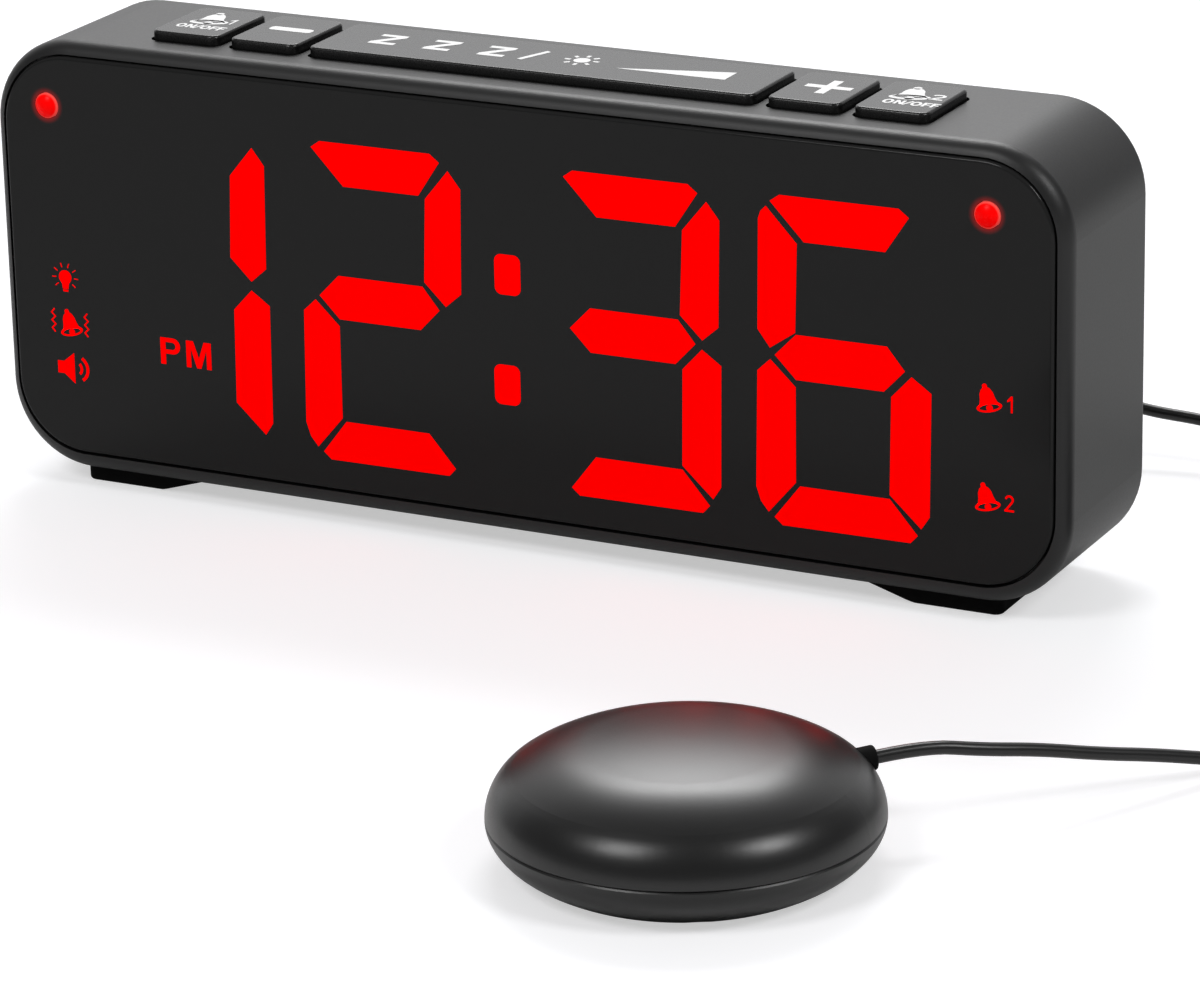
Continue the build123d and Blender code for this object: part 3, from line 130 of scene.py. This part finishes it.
def meshFrom(curve):
    # the mesh that Blender makes of a curve
    holder = bpy.data.objects.new("holder", curve)
    scene.collection.objects.link(holder)
    graph = bpy.context.evaluated_depsgraph_get()
    mesh = bpy.data.meshes.new_from_object(holder.evaluated_get(graph))
    bpy.data.objects.remove(holder)
    return mesh


def joined(meshes):
    gathered = bmesh.new()
    for mesh in meshes:
        gathered.from_mesh(mesh)
    whole = bpy.data.meshes.new("joined")
    gathered.to_mesh(whole)
    gathered.free()
    return whole


def addPiece(name, mesh, material):
    piece = bpy.data.objects.new(name, mesh)
    scene.collection.objects.link(piece)
    mesh.materials.clear()
    mesh.materials.append(material)
    return piece


# materials: colour drifts a little over the clouds, fine grain breaks up the highlight

grainLook = {
    "cloudMm": 30.0,
    "cloudDetail": 3.0,
    "grainDetail": 2.0,
    "noiseLow": 0.3,  # most of the noise lies between these two
    "noiseHigh": 0.7,
    "roughSpread": 0.02,
    "bumpPerWidth": 0.1,  # height of the grain for its width
}


def grained(name, colour, paler, roughness, grainMm, depth, specular=0.5, metallic=0.0):
    look = grainLook
    material = bpy.data.materials.new(name)
    material.use_nodes = True
    tree = material.node_tree
    shader = tree.nodes["Principled BSDF"]
    place = addNode(tree, "ShaderNodeTexCoord").outputs["Object"]
    cloud = addNode(tree, "ShaderNodeTexNoise", {"Vector": place, "Scale": 1 / (look["cloudMm"] * mm),
                                                 "Detail": look["cloudDetail"]})
    grain = addNode(tree, "ShaderNodeTexNoise", {"Vector": place, "Scale": 1 / (grainMm * mm),
                                                 "Detail": look["grainDetail"]})
    tint = addNode(tree, "ShaderNodeMix", {mixShare: cloud.outputs["Fac"], mixFirst: linearColour(colour),
                                           mixSecond: linearColour(paler)}, data_type="RGBA")
    spread = addNode(tree, "ShaderNodeMapRange", {"Value": grain.outputs["Fac"],
                                                  "From Min": look["noiseLow"], "From Max": look["noiseHigh"],
                                                  "To Min": roughness - look["roughSpread"],
                                                  "To Max": roughness + look["roughSpread"]})
    bump = addNode(tree, "ShaderNodeBump", {"Height": grain.outputs["Fac"], "Strength": depth,
                                            "Distance": look["bumpPerWidth"] * grainMm * mm})
    tree.links.new(tint.outputs[mixResult], shader.inputs["Base Color"])
    tree.links.new(spread.outputs["Result"], shader.inputs["Roughness"])
    tree.links.new(bump.outputs["Normal"], shader.inputs["Normal"])
    shader.inputs["Specular IOR Level"].default_value = specular
    shader.inputs["Metallic"].default_value = metallic
    return material


# ABS from a blasted mould: dark grey under a wide soft sheen; its 0.1 mm grain is drawn at 0.35 mm to show
caseAbs = grained("blastedMouldAbs", "#151516", "#191919", roughness=0.44, grainMm=0.35, depth=0.25)
# ABS from a smoother mould: blacker, with thin bright edges; its 0.05 mm grain is drawn at 0.3 mm
buttonAbs = grained("fineMouldAbs", "#111111", "#141414", roughness=0.28, grainMm=0.3, depth=0.06)
# ABS from a spark-eroded mould: black with round soft highlights; its 0.1 mm grain is drawn at 0.35 mm
shakerAbs = grained("erodedMouldAbs", "#0F0F0F", "#121212", roughness=0.33, grainMm=0.35, depth=0.12,
                    specular=0.62)
# acrylic tinted through and cast flat: even charcoal with faint clear reflections, and no relief
smokedAcrylic = grained("castSmokedAcrylic", "#282828", "#292929", roughness=0.12, grainMm=0.5, depth=0.0,
                        specular=0.14)
# moulded thermoplastic rubber: near black and almost without shine; its 0.1 mm bloom is drawn at 0.4 mm
footRubber = grained("mouldedRubber", "#0C0C0C", "#101010", roughness=0.75, grainMm=0.4, depth=0.3,
                     specular=0.1)
# extruded PVC sheath: black, with one thin line of light along it; its 0.1 mm grain is drawn at 0.3 mm
leadPvc = grained("extrudedPvc", "#121212", "#161616", roughness=0.34, grainMm=0.3, depth=0.1)

# pieces inside: a grain finer than 0.3 mm is drawn at 0.3 to 0.5 mm, so that it shows
# moulded nylon with glass fibre: dull dark grey, for the holders inside
moulding = grained("mouldedNylon", "#2A2A2B", "#303031", roughness=0.5, grainMm=0.4, depth=0.15)
# green lacquer over glass laminate: smooth mid green
laminate = grained("lacqueredLaminate", "#1E5A36", "#24663E", roughness=0.4, grainMm=0.5, depth=0.1)
# pressed and zinc plated steel: mid grey metal with blurred reflections
plainSteel = grained("zincPlatedSteel", "#8E8E90", "#9A9A9C", roughness=0.35, grainMm=0.3, depth=0.1,
                     metallic=1.0)
# pressed paper pulp: dark and matt, with fibres that show
conePaper = grained("pressedPaper", "#242322", "#2B2A28", roughness=0.8, grainMm=0.5, depth=0.5)
# cast silicone with phosphor in it: pale yellow
chipResin = grained("castPhosphorSilicone", "#D8CFA0", "#E2DAAE", roughness=0.35, grainMm=0.3, depth=0.05)
# extruded PVC ribbon: plain grey
ribbonPvc = grained("extrudedGreyPvc", "#8A8A8C", "#949496", roughness=0.45, grainMm=0.5, depth=0.1)
# moulded polycarbonate with no light behind it: brown-red, almost dark
darkDiffuser = grained("unlitPolycarbonate", "#2A1717", "#301A1A", roughness=0.3, grainMm=0.4, depth=0.05)

# screen-printed ink: flat white without shine; the 0.1 mm mesh it was pressed through is drawn at 0.25 mm
printInk = grained("screenPrintInk", "#F4F4F4", "#FBFBFB", roughness=0.6, grainMm=0.25, depth=0.1,
                   specular=0.3)


def litResin(name, colour, strength, roughness, specular):
    # translucent resin with light behind it, so it glows evenly
    material = grained(name, colour, colour, roughness, grainMm=0.4, depth=0.02, specular=specular)
    shader = material.node_tree.nodes["Principled BSDF"]
    shader.inputs["Emission Color"].default_value = linearColour(colour)
    shader.inputs["Emission Strength"].default_value = strength
    return material


def rimHighlightedResin(name, look):
    # a lit dome with a painted highlight: its edge, which leans away from the front, is painted paler
    material = litResin(name, look["colour"], look["strength"], look["roughness"], look["specular"])
    tree = material.node_tree
    shader = tree.nodes["Principled BSDF"]
    normal = addNode(tree, "ShaderNodeNewGeometry").outputs["Normal"]
    facing = addNode(tree, "ShaderNodeVectorMath", {0: normal, 1: (0, -1, 0)}, operation="DOT_PRODUCT")
    edge = addNode(tree, "ShaderNodeMapRange", {"Value": facing.outputs["Value"],
                                                "From Min": look["rimFirst"], "From Max": look["rimFull"]})
    tint = addNode(tree, "ShaderNodeMix", {mixShare: edge.outputs["Result"],
                                           mixFirst: linearColour(look["colour"]),
                                           mixSecond: linearColour(look["rim"])}, data_type="RGBA")
    tree.links.new(tint.outputs[mixResult], shader.inputs["Base Color"])
    tree.links.new(tint.outputs[mixResult], shader.inputs["Emission Color"])
    return material


def paintedGlowRound(material, lampNames, look):
    # painted glow: red emission on the sheet of plastic round the lamps let into it, standing in for their
    # light scattered in it
    tree = material.node_tree
    shader = tree.nodes["Principled BSDF"]
    place = addNode(tree, "ShaderNodeTexCoord").outputs["Object"]
    glow = 0.0
    for lampName in lampNames:
        low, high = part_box(lampName)
        middle = ((low.x + high.x) / 2, lensLow.y, (low.z + high.z) / 2)
        away = addNode(tree, "ShaderNodeVectorMath", {0: place, 1: middle}, operation="DISTANCE")
        fade = addNode(tree, "ShaderNodeMapRange", {"Value": away.outputs["Value"],
                                                    "From Min": look["first"] * mm,
                                                    "From Max": look["last"] * mm,
                                                    "To Min": look["strength"], "To Max": 0.0},
                       interpolation_type="SMOOTHSTEP")
        brightest = addNode(tree, "ShaderNodeMath", {0: fade.outputs["Result"], 1: glow}, operation="MAXIMUM")
        glow = brightest.outputs[0]
    tree.links.new(glow, shader.inputs["Emission Strength"])
    shader.inputs["Emission Color"].default_value = linearColour(look["colour"])


# moulded polycarbonate with lamps behind it: even full red
litRed = litResin("litPolycarbonate", "#FF0000", strength=0.63, roughness=0.6, specular=0.0)
# cast epoxy dome over a lamp: red, with a painted highlight that makes its edge paler where it leans away
# from the front
flashDome = {
    "colour": "#FF0000",
    # colour of the painted highlight at the dome's edge
    "rim": "#F65A52",
    "rimFirst": 0.74,  # cosines of the lean from the front
    "rimFull": 0.66,
    "strength": 0.5,
    "roughness": 0.3,
    "specular": 0.1,
}
redResin = rimHighlightedResin("castLitEpoxy", flashDome)
# painted red glow on the lens, from and to this many mm from the middle of a flash LED
paintedLensGlow = {"colour": "#FF0000", "strength": 0.2, "first": 1.9, "last": 3.2}
paintedGlowRound(smokedAcrylic, ("left_flash_led", "right_flash_led"), paintedLensGlow)

nodeMaterials = {
    "case_shell": caseAbs, "rear_cover": caseAbs, "battery_cap": caseAbs,
    "front_lens": smokedAcrylic,
    "left_flash_led": redResin, "right_flash_led": redResin,
    "lit_segments": litRed, "dark_segments": darkDiffuser, "segment_leds": chipResin,
    "display_board": laminate, "key_board": laminate, "main_board": laminate,
    "display_ribbon": ribbonPvc, "key_ribbon": ribbonPvc,
    "left_foot": footRubber, "right_foot": footRubber, "lead_grommet": footRubber,
    "shaker_top_shell": shakerAbs, "shaker_bottom_shell": shakerAbs,
    "lead_plug": leadPvc, "coil_tie": leadPvc,
    "speaker_basket": plainSteel, "speaker_cone": conePaper, "coin_cell": plainSteel,
    "case_screws": plainSteel, "board_screws": plainSteel,
    "shaker_screws": plainSteel, "clamp_screws": plainSteel,
    "vibration_motor": plainSteel, "motor_clamp": plainSteel,
    "motor_shaft": plainSteel, "eccentric_weight": plainSteel,
}
for name, node in nodes.items():
    keyLike = name.endswith("_button") or name in ("snooze_bar", "volume_knob")
    material = nodeMaterials.get(name, buttonAbs if keyLike else moulding)
    node.data.materials.clear()
    node.data.materials.append(material)
print("materials set on", len(nodes), "nodes")


# the lead: from the grommet to the put-away coil and on to the plug

lead = {
    "diameter": 2.0,
    "length": 1719.0,
    "coilMiddle": (141.0, 17.75),
    "coilOuter": 19.0,
    "coilPitch": 3.2,
    "coilLayers": 4,
    "halfTurns": 8,
    "coilLow": 2.4,
    "pointsPerHalfTurn": 8,
    "blendStart": (149.0, -23.0, 2.0),
    "blendEnd": (105.0, -79.0, 12.5),
    "roundSteps": 4,
    "lengthSteps": 6,
}
# points in mm from the shaker's origin, then from the clock's
fromGrommet = [(20.15, 18.79, 11.7), (25.61, 23.88, 12.36), (31.75, 29.15, 10.9), (37.6, 36.0, 9.35),
               (43.7, 43.3, 7.0), (50.0, 51.25, 4.9)]
besideClock = [(136.85, -42.95, 2.2), (143.6, -33.7, 1.3), (150.5, -21.25, 2.6), (157.5, -9.75, 6.6),
               (161.6, 3.25, 12.0)]
behindClock = [(160.0, 32.25, 2.4), (152.0, 46.25, 2.5), (143.0, 57.95, 2.7), (132.5, 67.95, 3.1),
               (121.0, 75.75, 3.9), (109.0, 80.95, 5.1), (97.0, 83.65, 6.6), (85.5, 83.95, 7.9),
               (75.5, 82.85, 8.6), (65.8, 81.65, 11.0), (57.5, 78.55, 15.2), (52.0, 72.75, 19.8),
               (50.0, 64.7, 23.0), (50.0, 57.2, 23.0)]


def coilEnds(settings):
    # where each half turn begins: in and out between the layers, from the bottom one up
    ends = []
    radius = settings["coilOuter"]
    step = -settings["coilPitch"] / 2
    for layer in range(settings["coilLayers"]):
        lastLayer = layer == settings["coilLayers"] - 1
        for count in range(settings["halfTurns"] + (2 if lastLayer else 1)):
            side = 1 if len(ends) % 2 == 0 else -1
            ends.append(Vector((settings["coilMiddle"][0] + side * radius, settings["coilMiddle"][1],
                                settings["coilLow"] + layer * settings["coilPitch"])))
            radius += step
        radius -= step
        step = -step
    return ends


def coilPoints(settings):
    # control points round each half turn, swelled because the spline runs inside them: in the middle
    # of a span it takes three quarters of its own point and an eighth of each neighbour
    ends = coilEnds(settings)
    count = settings["pointsPerHalfTurn"]
    swell = 1 / (0.75 + 0.25 * math.cos(math.pi / count))
    points = []
    for index, (here, after) in enumerate(zip(ends, ends[1:])):
        middle = (here + after) / 2
        arm = (here - after) / 2
        bulge = Vector((0, -arm.length if index % 2 == 0 else arm.length, 0))
        for part in range(count):
            angle = math.pi * (part + 0.5) / count
            turn = arm * math.cos(angle) + bulge * math.sin(angle)
            points.append(middle + Vector((turn.x * swell, turn.y * swell, turn.z)))
    return points


def leadCurve(settings, points, bevel):
    curve = bpy.data.curves.new("leadLine", "CURVE")
    curve.dimensions = "3D"
    curve.bevel_depth = bevel
    curve.bevel_resolution = settings["roundSteps"]
    spline = curve.splines.new("NURBS")
    spline.points.add(len(points) - 1)
    for point, place in zip(spline.points, points):
        point.co = (*place, 1)
    spline.order_u = 3
    spline.use_endpoint_u = True
    spline.resolution_u = settings["lengthSteps"]
    return curve


leadRoute = [atShaker(point) for point in fromGrommet]
leadRoute += [atClock(point) for point in besideClock + coilPoints(lead)[::-1] + behindClock]
leadPath = [vertex.co.copy() for vertex in meshFrom(leadCurve(lead, leadRoute, 0.0)).vertices]
leadTube = addPiece("shakerLead", meshFrom(leadCurve(lead, leadRoute, lead["diameter"] / 2 * mm)), leadPvc)
leadTube.data.shade_smooth()
leadLength = sum((b - a).length for a, b in zip(leadPath, leadPath[1:]))
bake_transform(leadTube)
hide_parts("clock_lead", "lead_coil", "shaker_lead")
print("lead drawn, metres:", round(leadLength, 3))


# outlines for printed and lit marks; a drawing is a list of plates, and a plate is a list of closed outlines

def arc(x, y, width, height, first, last, steps):
    # points on an ellipse, from one angle in degrees to another
    turns = [math.radians(first + (last - first) * step / steps) for step in range(steps + 1)]
    return [(x + width / 2 * math.cos(turn), y + height / 2 * math.sin(turn)) for turn in turns]


def ellipse(x, y, width, height, steps=28):
    return arc(x, y, width, height, 0, 360, steps)[:-1]


def disc(x, y, radius):
    return ellipse(x, y, 2 * radius, 2 * radius)


def roundedBox(x, y, width, height, corner, steps=6):
    points = []
    for index, (sx, sy) in enumerate(((1, 1), (-1, 1), (-1, -1), (1, -1))):
        points += arc(x + sx * (width / 2 - corner), y + sy * (height / 2 - corner), 2 * corner, 2 * corner,
                      90 * index, 90 * (index + 1), steps)
    return points


def halfTurned(points):
    # an outline whose second half is the first, turned half a turn
    return points + [(-x, -y) for x, y in points]


def ribbon(points, width):
    # an open line of some width, mitred at its corners
    line = [Vector(point) for point in points]
    sides = []
    for index, here in enumerate(line):
        before = (here - line[index - 1]).normalized() if index else (line[1] - here).normalized()
        after = (line[index + 1] - here).normalized() if index + 1 < len(line) else before
        across = Vector((-(before + after).y, (before + after).x)).normalized()
        sides.append(across * (width / 2 / across.dot(Vector((-after.y, after.x)))))
    there = [tuple(p + s) for p, s in zip(line, sides)]
    back = [tuple(p - s) for p, s in zip(line[::-1], sides[::-1])]
    return there + back


def arcBand(x, y, radius, width, first, last, steps=14):
    return ribbon(arc(x, y, 2 * radius, 2 * radius, first, last, steps), width)


def rays(y, inner, outer, width, angles):
    # short lines that point away from a middle at that height
    lines = []
    for turn in (math.radians(angle) for angle in angles):
        ends = [(reach * math.cos(turn), y + reach * math.sin(turn)) for reach in (inner, outer)]
        lines.append([ribbon(ends, width)])
    return lines


def placed(drawing, x, y, size=1.0, lean=0.0):
    turn = Matrix.Rotation(math.radians(lean), 2)
    return [[[tuple(turn @ Vector(point) * size + Vector((x, y))) for point in outline] for outline in plate]
            for plate in drawing]


def inRow(drawings):
    return [plate for drawing, x in drawings for plate in placed(drawing, x, 0)]


def setOut(drawings):
    # each drawing comes with its place, size and lean in degrees
    return [plate for drawing, x, y, size, lean in drawings for plate in placed(drawing, x, y, size, lean)]


def plates(drawing, thick):
    # flat plates in mm; an outline inside another is a hole
    meshes = []
    for plate in drawing:
        curve = bpy.data.curves.new("plate", "CURVE")
        curve.dimensions = "2D"
        curve.fill_mode = "BOTH"
        curve.extrude = thick / 2 * mm
        for outline in plate:
            spline = curve.splines.new("POLY")
            spline.points.add(len(outline) - 1)
            for point, (x, y) in zip(spline.points, outline):
                point.co = (x * mm, y * mm, 0, 1)
            spline.use_cyclic_u = True
        meshes.append(meshFrom(curve))
    return joined(meshes)


# each of these is about 1 high, and is sized where it is placed
bellSide = [(-0.44, -0.33), (-0.34, -0.2), (-0.28, -0.02), (-0.25, 0.16), (-0.17, 0.31), (-0.07, 0.38)]
bellBody = bellSide + [(-x, y) for x, y in bellSide[::-1]] + arc(0, -0.33, 0.72, 0.2, 0, 180, 12)
bell = [[bellBody], [disc(0, 0.42, 0.09)], [ellipse(0, -0.33, 0.96, 0.36), ellipse(0, -0.33, 0.78, 0.22)],
        [disc(0, -0.36, 0.12)]]
boldBody = [(1.2 * x, 1.35 * y + 0.12) for x, y in bellBody]
boldBell = [[boldBody], [disc(0, 0.67, 0.13)], [ellipse(0, -0.33, 1.24, 0.52), ellipse(0, -0.33, 0.84, 0.2)],
            [disc(0, -0.42, 0.15)]]
letterP = [[[(0, 0), (0, 1), *arc(0.52, 0.7, 0.6, 0.6, 90, -90, 10), (0.21, 0.4), (0.21, 0)],
            [(0.21, 0.84), *arc(0.49, 0.7, 0.28, 0.28, 90, -90, 8), (0.21, 0.56)]]]
letterM = [[[(0, 0), (0, 1), (0.29, 1), (0.515, 0.36), (0.74, 1), (1.03, 1), (1.03, 0), (0.84, 0),
             (0.84, 0.72), (0.6, 0), (0.43, 0), (0.19, 0.72), (0.19, 0)]]]
digitOne = [[[(0.11, -0.5), (0.11, 0.24), (-0.12, 0.12), (-0.12, 0.24), (0.12, 0.5), (0.22, 0.5),
              (0.22, -0.5)]]]
twoBow = arc(0, 0.23, 0.44, 0.44, 170, -40, 10)
digitTwo = [[ribbon([*twoBow, (-0.21, -0.41)], 0.12)], [roundedBox(0, -0.44, 0.6, 0.12, 0.02)]]
wideBow = [(1.35 * x, y) for x, y in twoBow]
boldTwo = [[ribbon([*wideBow, (-0.27, -0.38)], 0.18)], [roundedBox(0, -0.41, 0.82, 0.18, 0.02)]]
bulbNeck = [(-0.15, 0.0), (0.15, 0.0), (0.11, -0.28), (-0.11, -0.28)]
bulb = [[disc(0, 0.14, 0.25)], [bulbNeck], [ribbon([(-0.1, -0.34), (0.1, -0.34)], 0.07)],
        *rays(0.14, 0.36, 0.52, 0.035, range(-40, 221, 37))]
waver = [(0.05, 0.42), (-0.07, 0.28), (0.07, 0.14), (-0.07, 0.0), (0.07, -0.14), (-0.07, -0.28),
         (0.05, -0.42)]
shakingBell = [*placed(bell, 0, 0, 0.95, 14), [ribbon([(x + 0.68, y - 0.02) for x, y in waver], 0.05)],
               [ribbon([(x - 0.64, y + 0.02) for x, y in waver], 0.05)]]
speakerHorn = [(-0.55, -0.2), (-0.55, 0.2), (-0.32, 0.2), (0.06, 0.5), (0.06, -0.5), (-0.32, -0.2)]
speaker = [[speakerHorn], [arcBand(0.12, 0, 0.2, 0.09, -52, 52)], [arcBand(0.12, 0, 0.42, 0.1, -58, 58)]]


# lit digits and signs on the face of the lens, in mm from its middle

lensMiddle = (lensLow + lensHigh) / 2

display = {
    "plate": 0.06,
    "strokes": {
        "a": [(-12.3, 23.7), (-10.7, 24.8), (9.2, 24.8), (10.9, 23.5), (7.0, 17.7), (-6.6, 17.7)],
        "b": [(12.4, 22.3), (14.6, 19.5), (14.2, 2.2), (11.4, -0.2), (7.6, 3.5), (8.2, 17.3)],
        "c": [(11.3, -1.7), (14.6, -4.0), (14.3, -24.0), (12.9, -26.1), (7.6, -21.2), (7.9, -5.3)],
        "d": [(-12.0, -27.5), (-10.6, -28.7), (11.1, -28.6), (12.3, -27.3), (7.6, -21.9), (-7.6, -21.9)],
        "e": [(-12.5, -1.75), (-8.2, -5.8), (-8.3, -21.4), (-13.0, -26.8), (-14.3, -25.2), (-15.1, -22.8),
              (-14.7, -3.8)],
        "f": [(-14.3, 20.7), (-13.9, 21.9), (-13.0, 22.8), (-7.8, 17.3), (-8.2, 3.0), (-12.5, 0.1),
              (-14.6, 2.9)],
        "g": [(-11.7, -0.95), (-8.1, 2.7), (7.2, 2.7), (10.2, -0.95), (6.7, -4.6), (-8.1, -4.6)],
    },
    "shows": {-58.3: "bc", -22.6: "abged", 22.6: "abgcd", 58.1: "afgedc"},
    "colon": {"width": 4.6, "height": 6.65, "corner": 1.2, "places": ((0.0, 6.45), (-0.5, -11.85))},
}
signs = {
    "plate": 0.06,
    "drawings": [(bulb, -82.6, -4.3, 4.8, 0), (shakingBell, -82.2, -11.4, 4.8, 0),
                 (speaker, -82.0, -19.3, 5.3, 0), (bell, 81.9, -3.4, 4.5, 14), (bell, 81.7, -19.3, 4.5, 14),
                 (letterP, -64.8, -16.3, 4.55, 0), (letterM, -59.9, -16.3, 4.55, 0),
                 (digitOne, 85.5, -4.0, 2.65, 0), (digitTwo, 85.6, -19.9, 2.65, 0)],
}


def onLens(mesh, thick):
    # local x and y become X and Z, and the plates stand on the front of the lens
    front = Vector((lensMiddle.x, lensLow.y - thick / 2 * mm, lensMiddle.z))
    mesh.transform(Matrix.Translation(front) @ Matrix.Rotation(math.pi / 2, 4, "X"))
    return mesh


def lightDisplay(settings):
    drawing = [[[(x + middle, z) for x, z in settings["strokes"][letter]]]
               for middle, lettering in settings["shows"].items() for letter in lettering]
    dots = settings["colon"]
    drawing += [[roundedBox(x, z, dots["width"], dots["height"], dots["corner"])] for x, z in dots["places"]]
    piece = addPiece("litDigits", onLens(plates(drawing, settings["plate"]), settings["plate"]), litRed)
    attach(piece, "clock")


def lightSigns(settings):
    thick = settings["plate"]
    piece = addPiece("litSigns", onLens(plates(setOut(settings["drawings"]), thick), thick), litRed)
    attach(piece, "clock")


lightDisplay(display)
lightSigns(signs)
print("digits and signs lit")


# white print on the top buttons, in mm from the middle of each

letterZ = [[halfTurned([(-0.4, 0.5), (0.4, 0.5), (0.4, 0.3), (-0.12, -0.3), (0.4, -0.3)])]]
letterN = [[halfTurned([(-0.36, -0.5), (-0.36, 0.5), (-0.14, 0.5), (0.15, -0.1), (0.15, 0.5)])]]
letterO = [[ellipse(0, 0, 0.8, 1.06), ellipse(0, 0, 0.38, 0.62)]]
letterF = [[[(-0.29, -0.5), (-0.29, 0.5), (0.3, 0.5), (0.3, 0.3), (-0.06, 0.3), (-0.06, 0.1), (0.25, 0.1),
             (0.25, -0.1), (-0.06, -0.1), (-0.06, -0.5)]]]
slash = [[ribbon([(-0.22, -0.55), (0.22, 0.55)], 0.17)]]
onOff = inRow([(letterO, -1.66), (letterN, -0.8), (slash, -0.18), (letterO, 0.46), (letterF, 1.22),
               (letterF, 1.88)])
sleepSign = inRow([(letterZ, -1.7), (letterZ, 0), (letterZ, 1.7)])
sun = [[disc(0, 0, 0.23)], *rays(0, 0.33, 0.5, 0.1, range(0, 360, 45))]
# these three are drawn at their real size
ramp = [[[(-9.5, -2.3), (9.5, -2.3), (9.5, 2.3)]]]
minusSign = [[roundedBox(0, 0, 7.8, 2.1, 0.8)]]
plusSign = [[halfTurned([(0.8, 0.8), (0.8, 3.9), (-0.8, 3.9), (-0.8, 0.8), (-3.9, 0.8), (-3.9, -0.8)])]]

prints = {
    "thick": 0.03,
    "drawings": {
        "alarm_1": [(boldBell, -0.2, 1.4, 5.4, 10), (digitOne, 3.5, 1.0, 3.0, 0), (onOff, 0.4, -3.6, 2.1, 0)],
        "minus": [(minusSign, 0.6, 0.4, 1.0, 0)],
        "snooze": [(sleepSign, -19.5, 0.6, 5.8, 0), (slash, -3.0, 0.6, 5.4, 0), (sun, 5.5, 0.6, 6.0, 0),
                   (ramp, 22.0, 0.6, 1.0, 0)],
        "plus": [(plusSign, 0.6, 0.4, 1.0, 0)],
        "alarm_2": [(boldBell, -0.4, 1.4, 5.4, 10), (boldTwo, 4.0, 1.0, 3.0, 0), (onOff, 1.4, -3.6, 2.2, 0)],
    },
}


def printButton(body, drawings, thick):
    low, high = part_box("snooze_bar" if body == "snooze" else body + "_button")
    mesh = plates(setOut(drawings), thick)
    mesh.transform(Matrix.Translation(((low.x + high.x) / 2, (low.y + high.y) / 2, high.z + thick / 2 * mm)))
    piece = addPiece(body.replace("_", "") + "Print", mesh, printInk)
    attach(piece, body)


for body, drawings in prints["drawings"].items():
    printButton(body, drawings, prints["thick"])
print("buttons printed")


# floor, lights and the room, in metres

floorLook = {"size": 6.0, "seen": "#D4D4D7", "mirrored": "#EEEEEE", "bounced": "#808080", "roughness": 0.5,
             "glow": 0.52}


def layFloor(settings):
    half = settings["size"] / 2
    corners = [(-half, -half, 0), (half, -half, 0), (half, half, 0), (-half, half, 0)]
    mesh = bpy.data.meshes.new("floor")
    mesh.from_pydata(corners, [], [(0, 1, 2, 3)])
    material = bpy.data.materials.new("paleTable")
    material.use_nodes = True
    tree = material.node_tree
    shader = tree.nodes["Principled BSDF"]
    path = addNode(tree, "ShaderNodeLightPath").outputs
    mirrored = addNode(tree, "ShaderNodeMix", {mixShare: path["Is Glossy Ray"],
                                               mixFirst: linearColour(settings["bounced"]),
                                               mixSecond: linearColour(settings["mirrored"])},
                       data_type="RGBA")
    tint = addNode(tree, "ShaderNodeMix", {mixShare: path["Is Camera Ray"],
                                           mixFirst: mirrored.outputs[mixResult],
                                           mixSecond: linearColour(settings["seen"])}, data_type="RGBA")
    glow = addNode(tree, "ShaderNodeMath", {0: path["Is Camera Ray"], 1: settings["glow"]},
                   operation="MULTIPLY")
    tree.links.new(tint.outputs[mixResult], shader.inputs["Base Color"])
    tree.links.new(glow.outputs[0], shader.inputs["Emission Strength"])
    shader.inputs["Emission Color"].default_value = (1, 1, 1, 1)
    shader.inputs["Roughness"].default_value = settings["roughness"]
    shader.inputs["Specular IOR Level"].default_value = 0.0
    addPiece("floor", mesh, material)


layFloor(floorLook)

lampAim = Vector((0.03, 0, 0.03))
lamps = [
    {"name": "backSoftbox", "size": (0.6, 0.36), "place": (-0.36, 0.79, 0.78), "watts": 2.5},
    {"name": "topSoftbox", "size": (0.46, 0.16), "place": (-0.22, 0.64, 0.8), "watts": 2.6},
    {"name": "leftSoftbox", "size": (0.42, 0.42), "place": (-0.26, -0.8, 0.98), "watts": 4.8},
    {"name": "rightSoftbox", "size": (0.36, 0.36), "place": (0.95, -0.1, 0.9), "watts": 5.0},
]


def hangLamp(settings):
    data = bpy.data.lights.new(settings["name"], "AREA")
    data.shape = "RECTANGLE"
    data.size, data.size_y = settings["size"]
    data.energy = settings["watts"]
    lamp = bpy.data.objects.new(settings["name"], data)
    lamp.location = settings["place"]
    lamp.rotation_euler = (lampAim - Vector(settings["place"])).to_track_quat("-Z", "Y").to_euler()
    scene.collection.objects.link(lamp)


for settings in lamps:
    hangLamp(settings)

# a room that is bright behind the clock and dim elsewhere
room = {
    "colour": (0.97, 0.97, 0.98, 1),
    "dim": 0.18,
    "bright": 1.1,
    "towards": (-0.45, 0.88, 0.1),
    "brightFirst": 0.45,  # cosines of the angle from that direction
    "brightFull": 0.9,
}


def lightRoom(settings):
    world = bpy.data.worlds.new("paleRoom")
    world.use_nodes = True
    tree = world.node_tree
    background = tree.nodes["Background"]
    direction = addNode(tree, "ShaderNodeTexCoord").outputs["Generated"]
    towards = addNode(tree, "ShaderNodeVectorMath", {0: direction, 1: settings["towards"]},
                      operation="DOT_PRODUCT")
    level = addNode(tree, "ShaderNodeMapRange", {"Value": towards.outputs["Value"],
                                                 "From Min": settings["brightFirst"],
                                                 "From Max": settings["brightFull"],
                                                 "To Min": settings["dim"], "To Max": settings["bright"]})
    background.inputs["Color"].default_value = settings["colour"]
    tree.links.new(level.outputs["Result"], background.inputs["Strength"])
    scene.world = world


lightRoom(room)
print("floor and", len(lamps), "lamps")
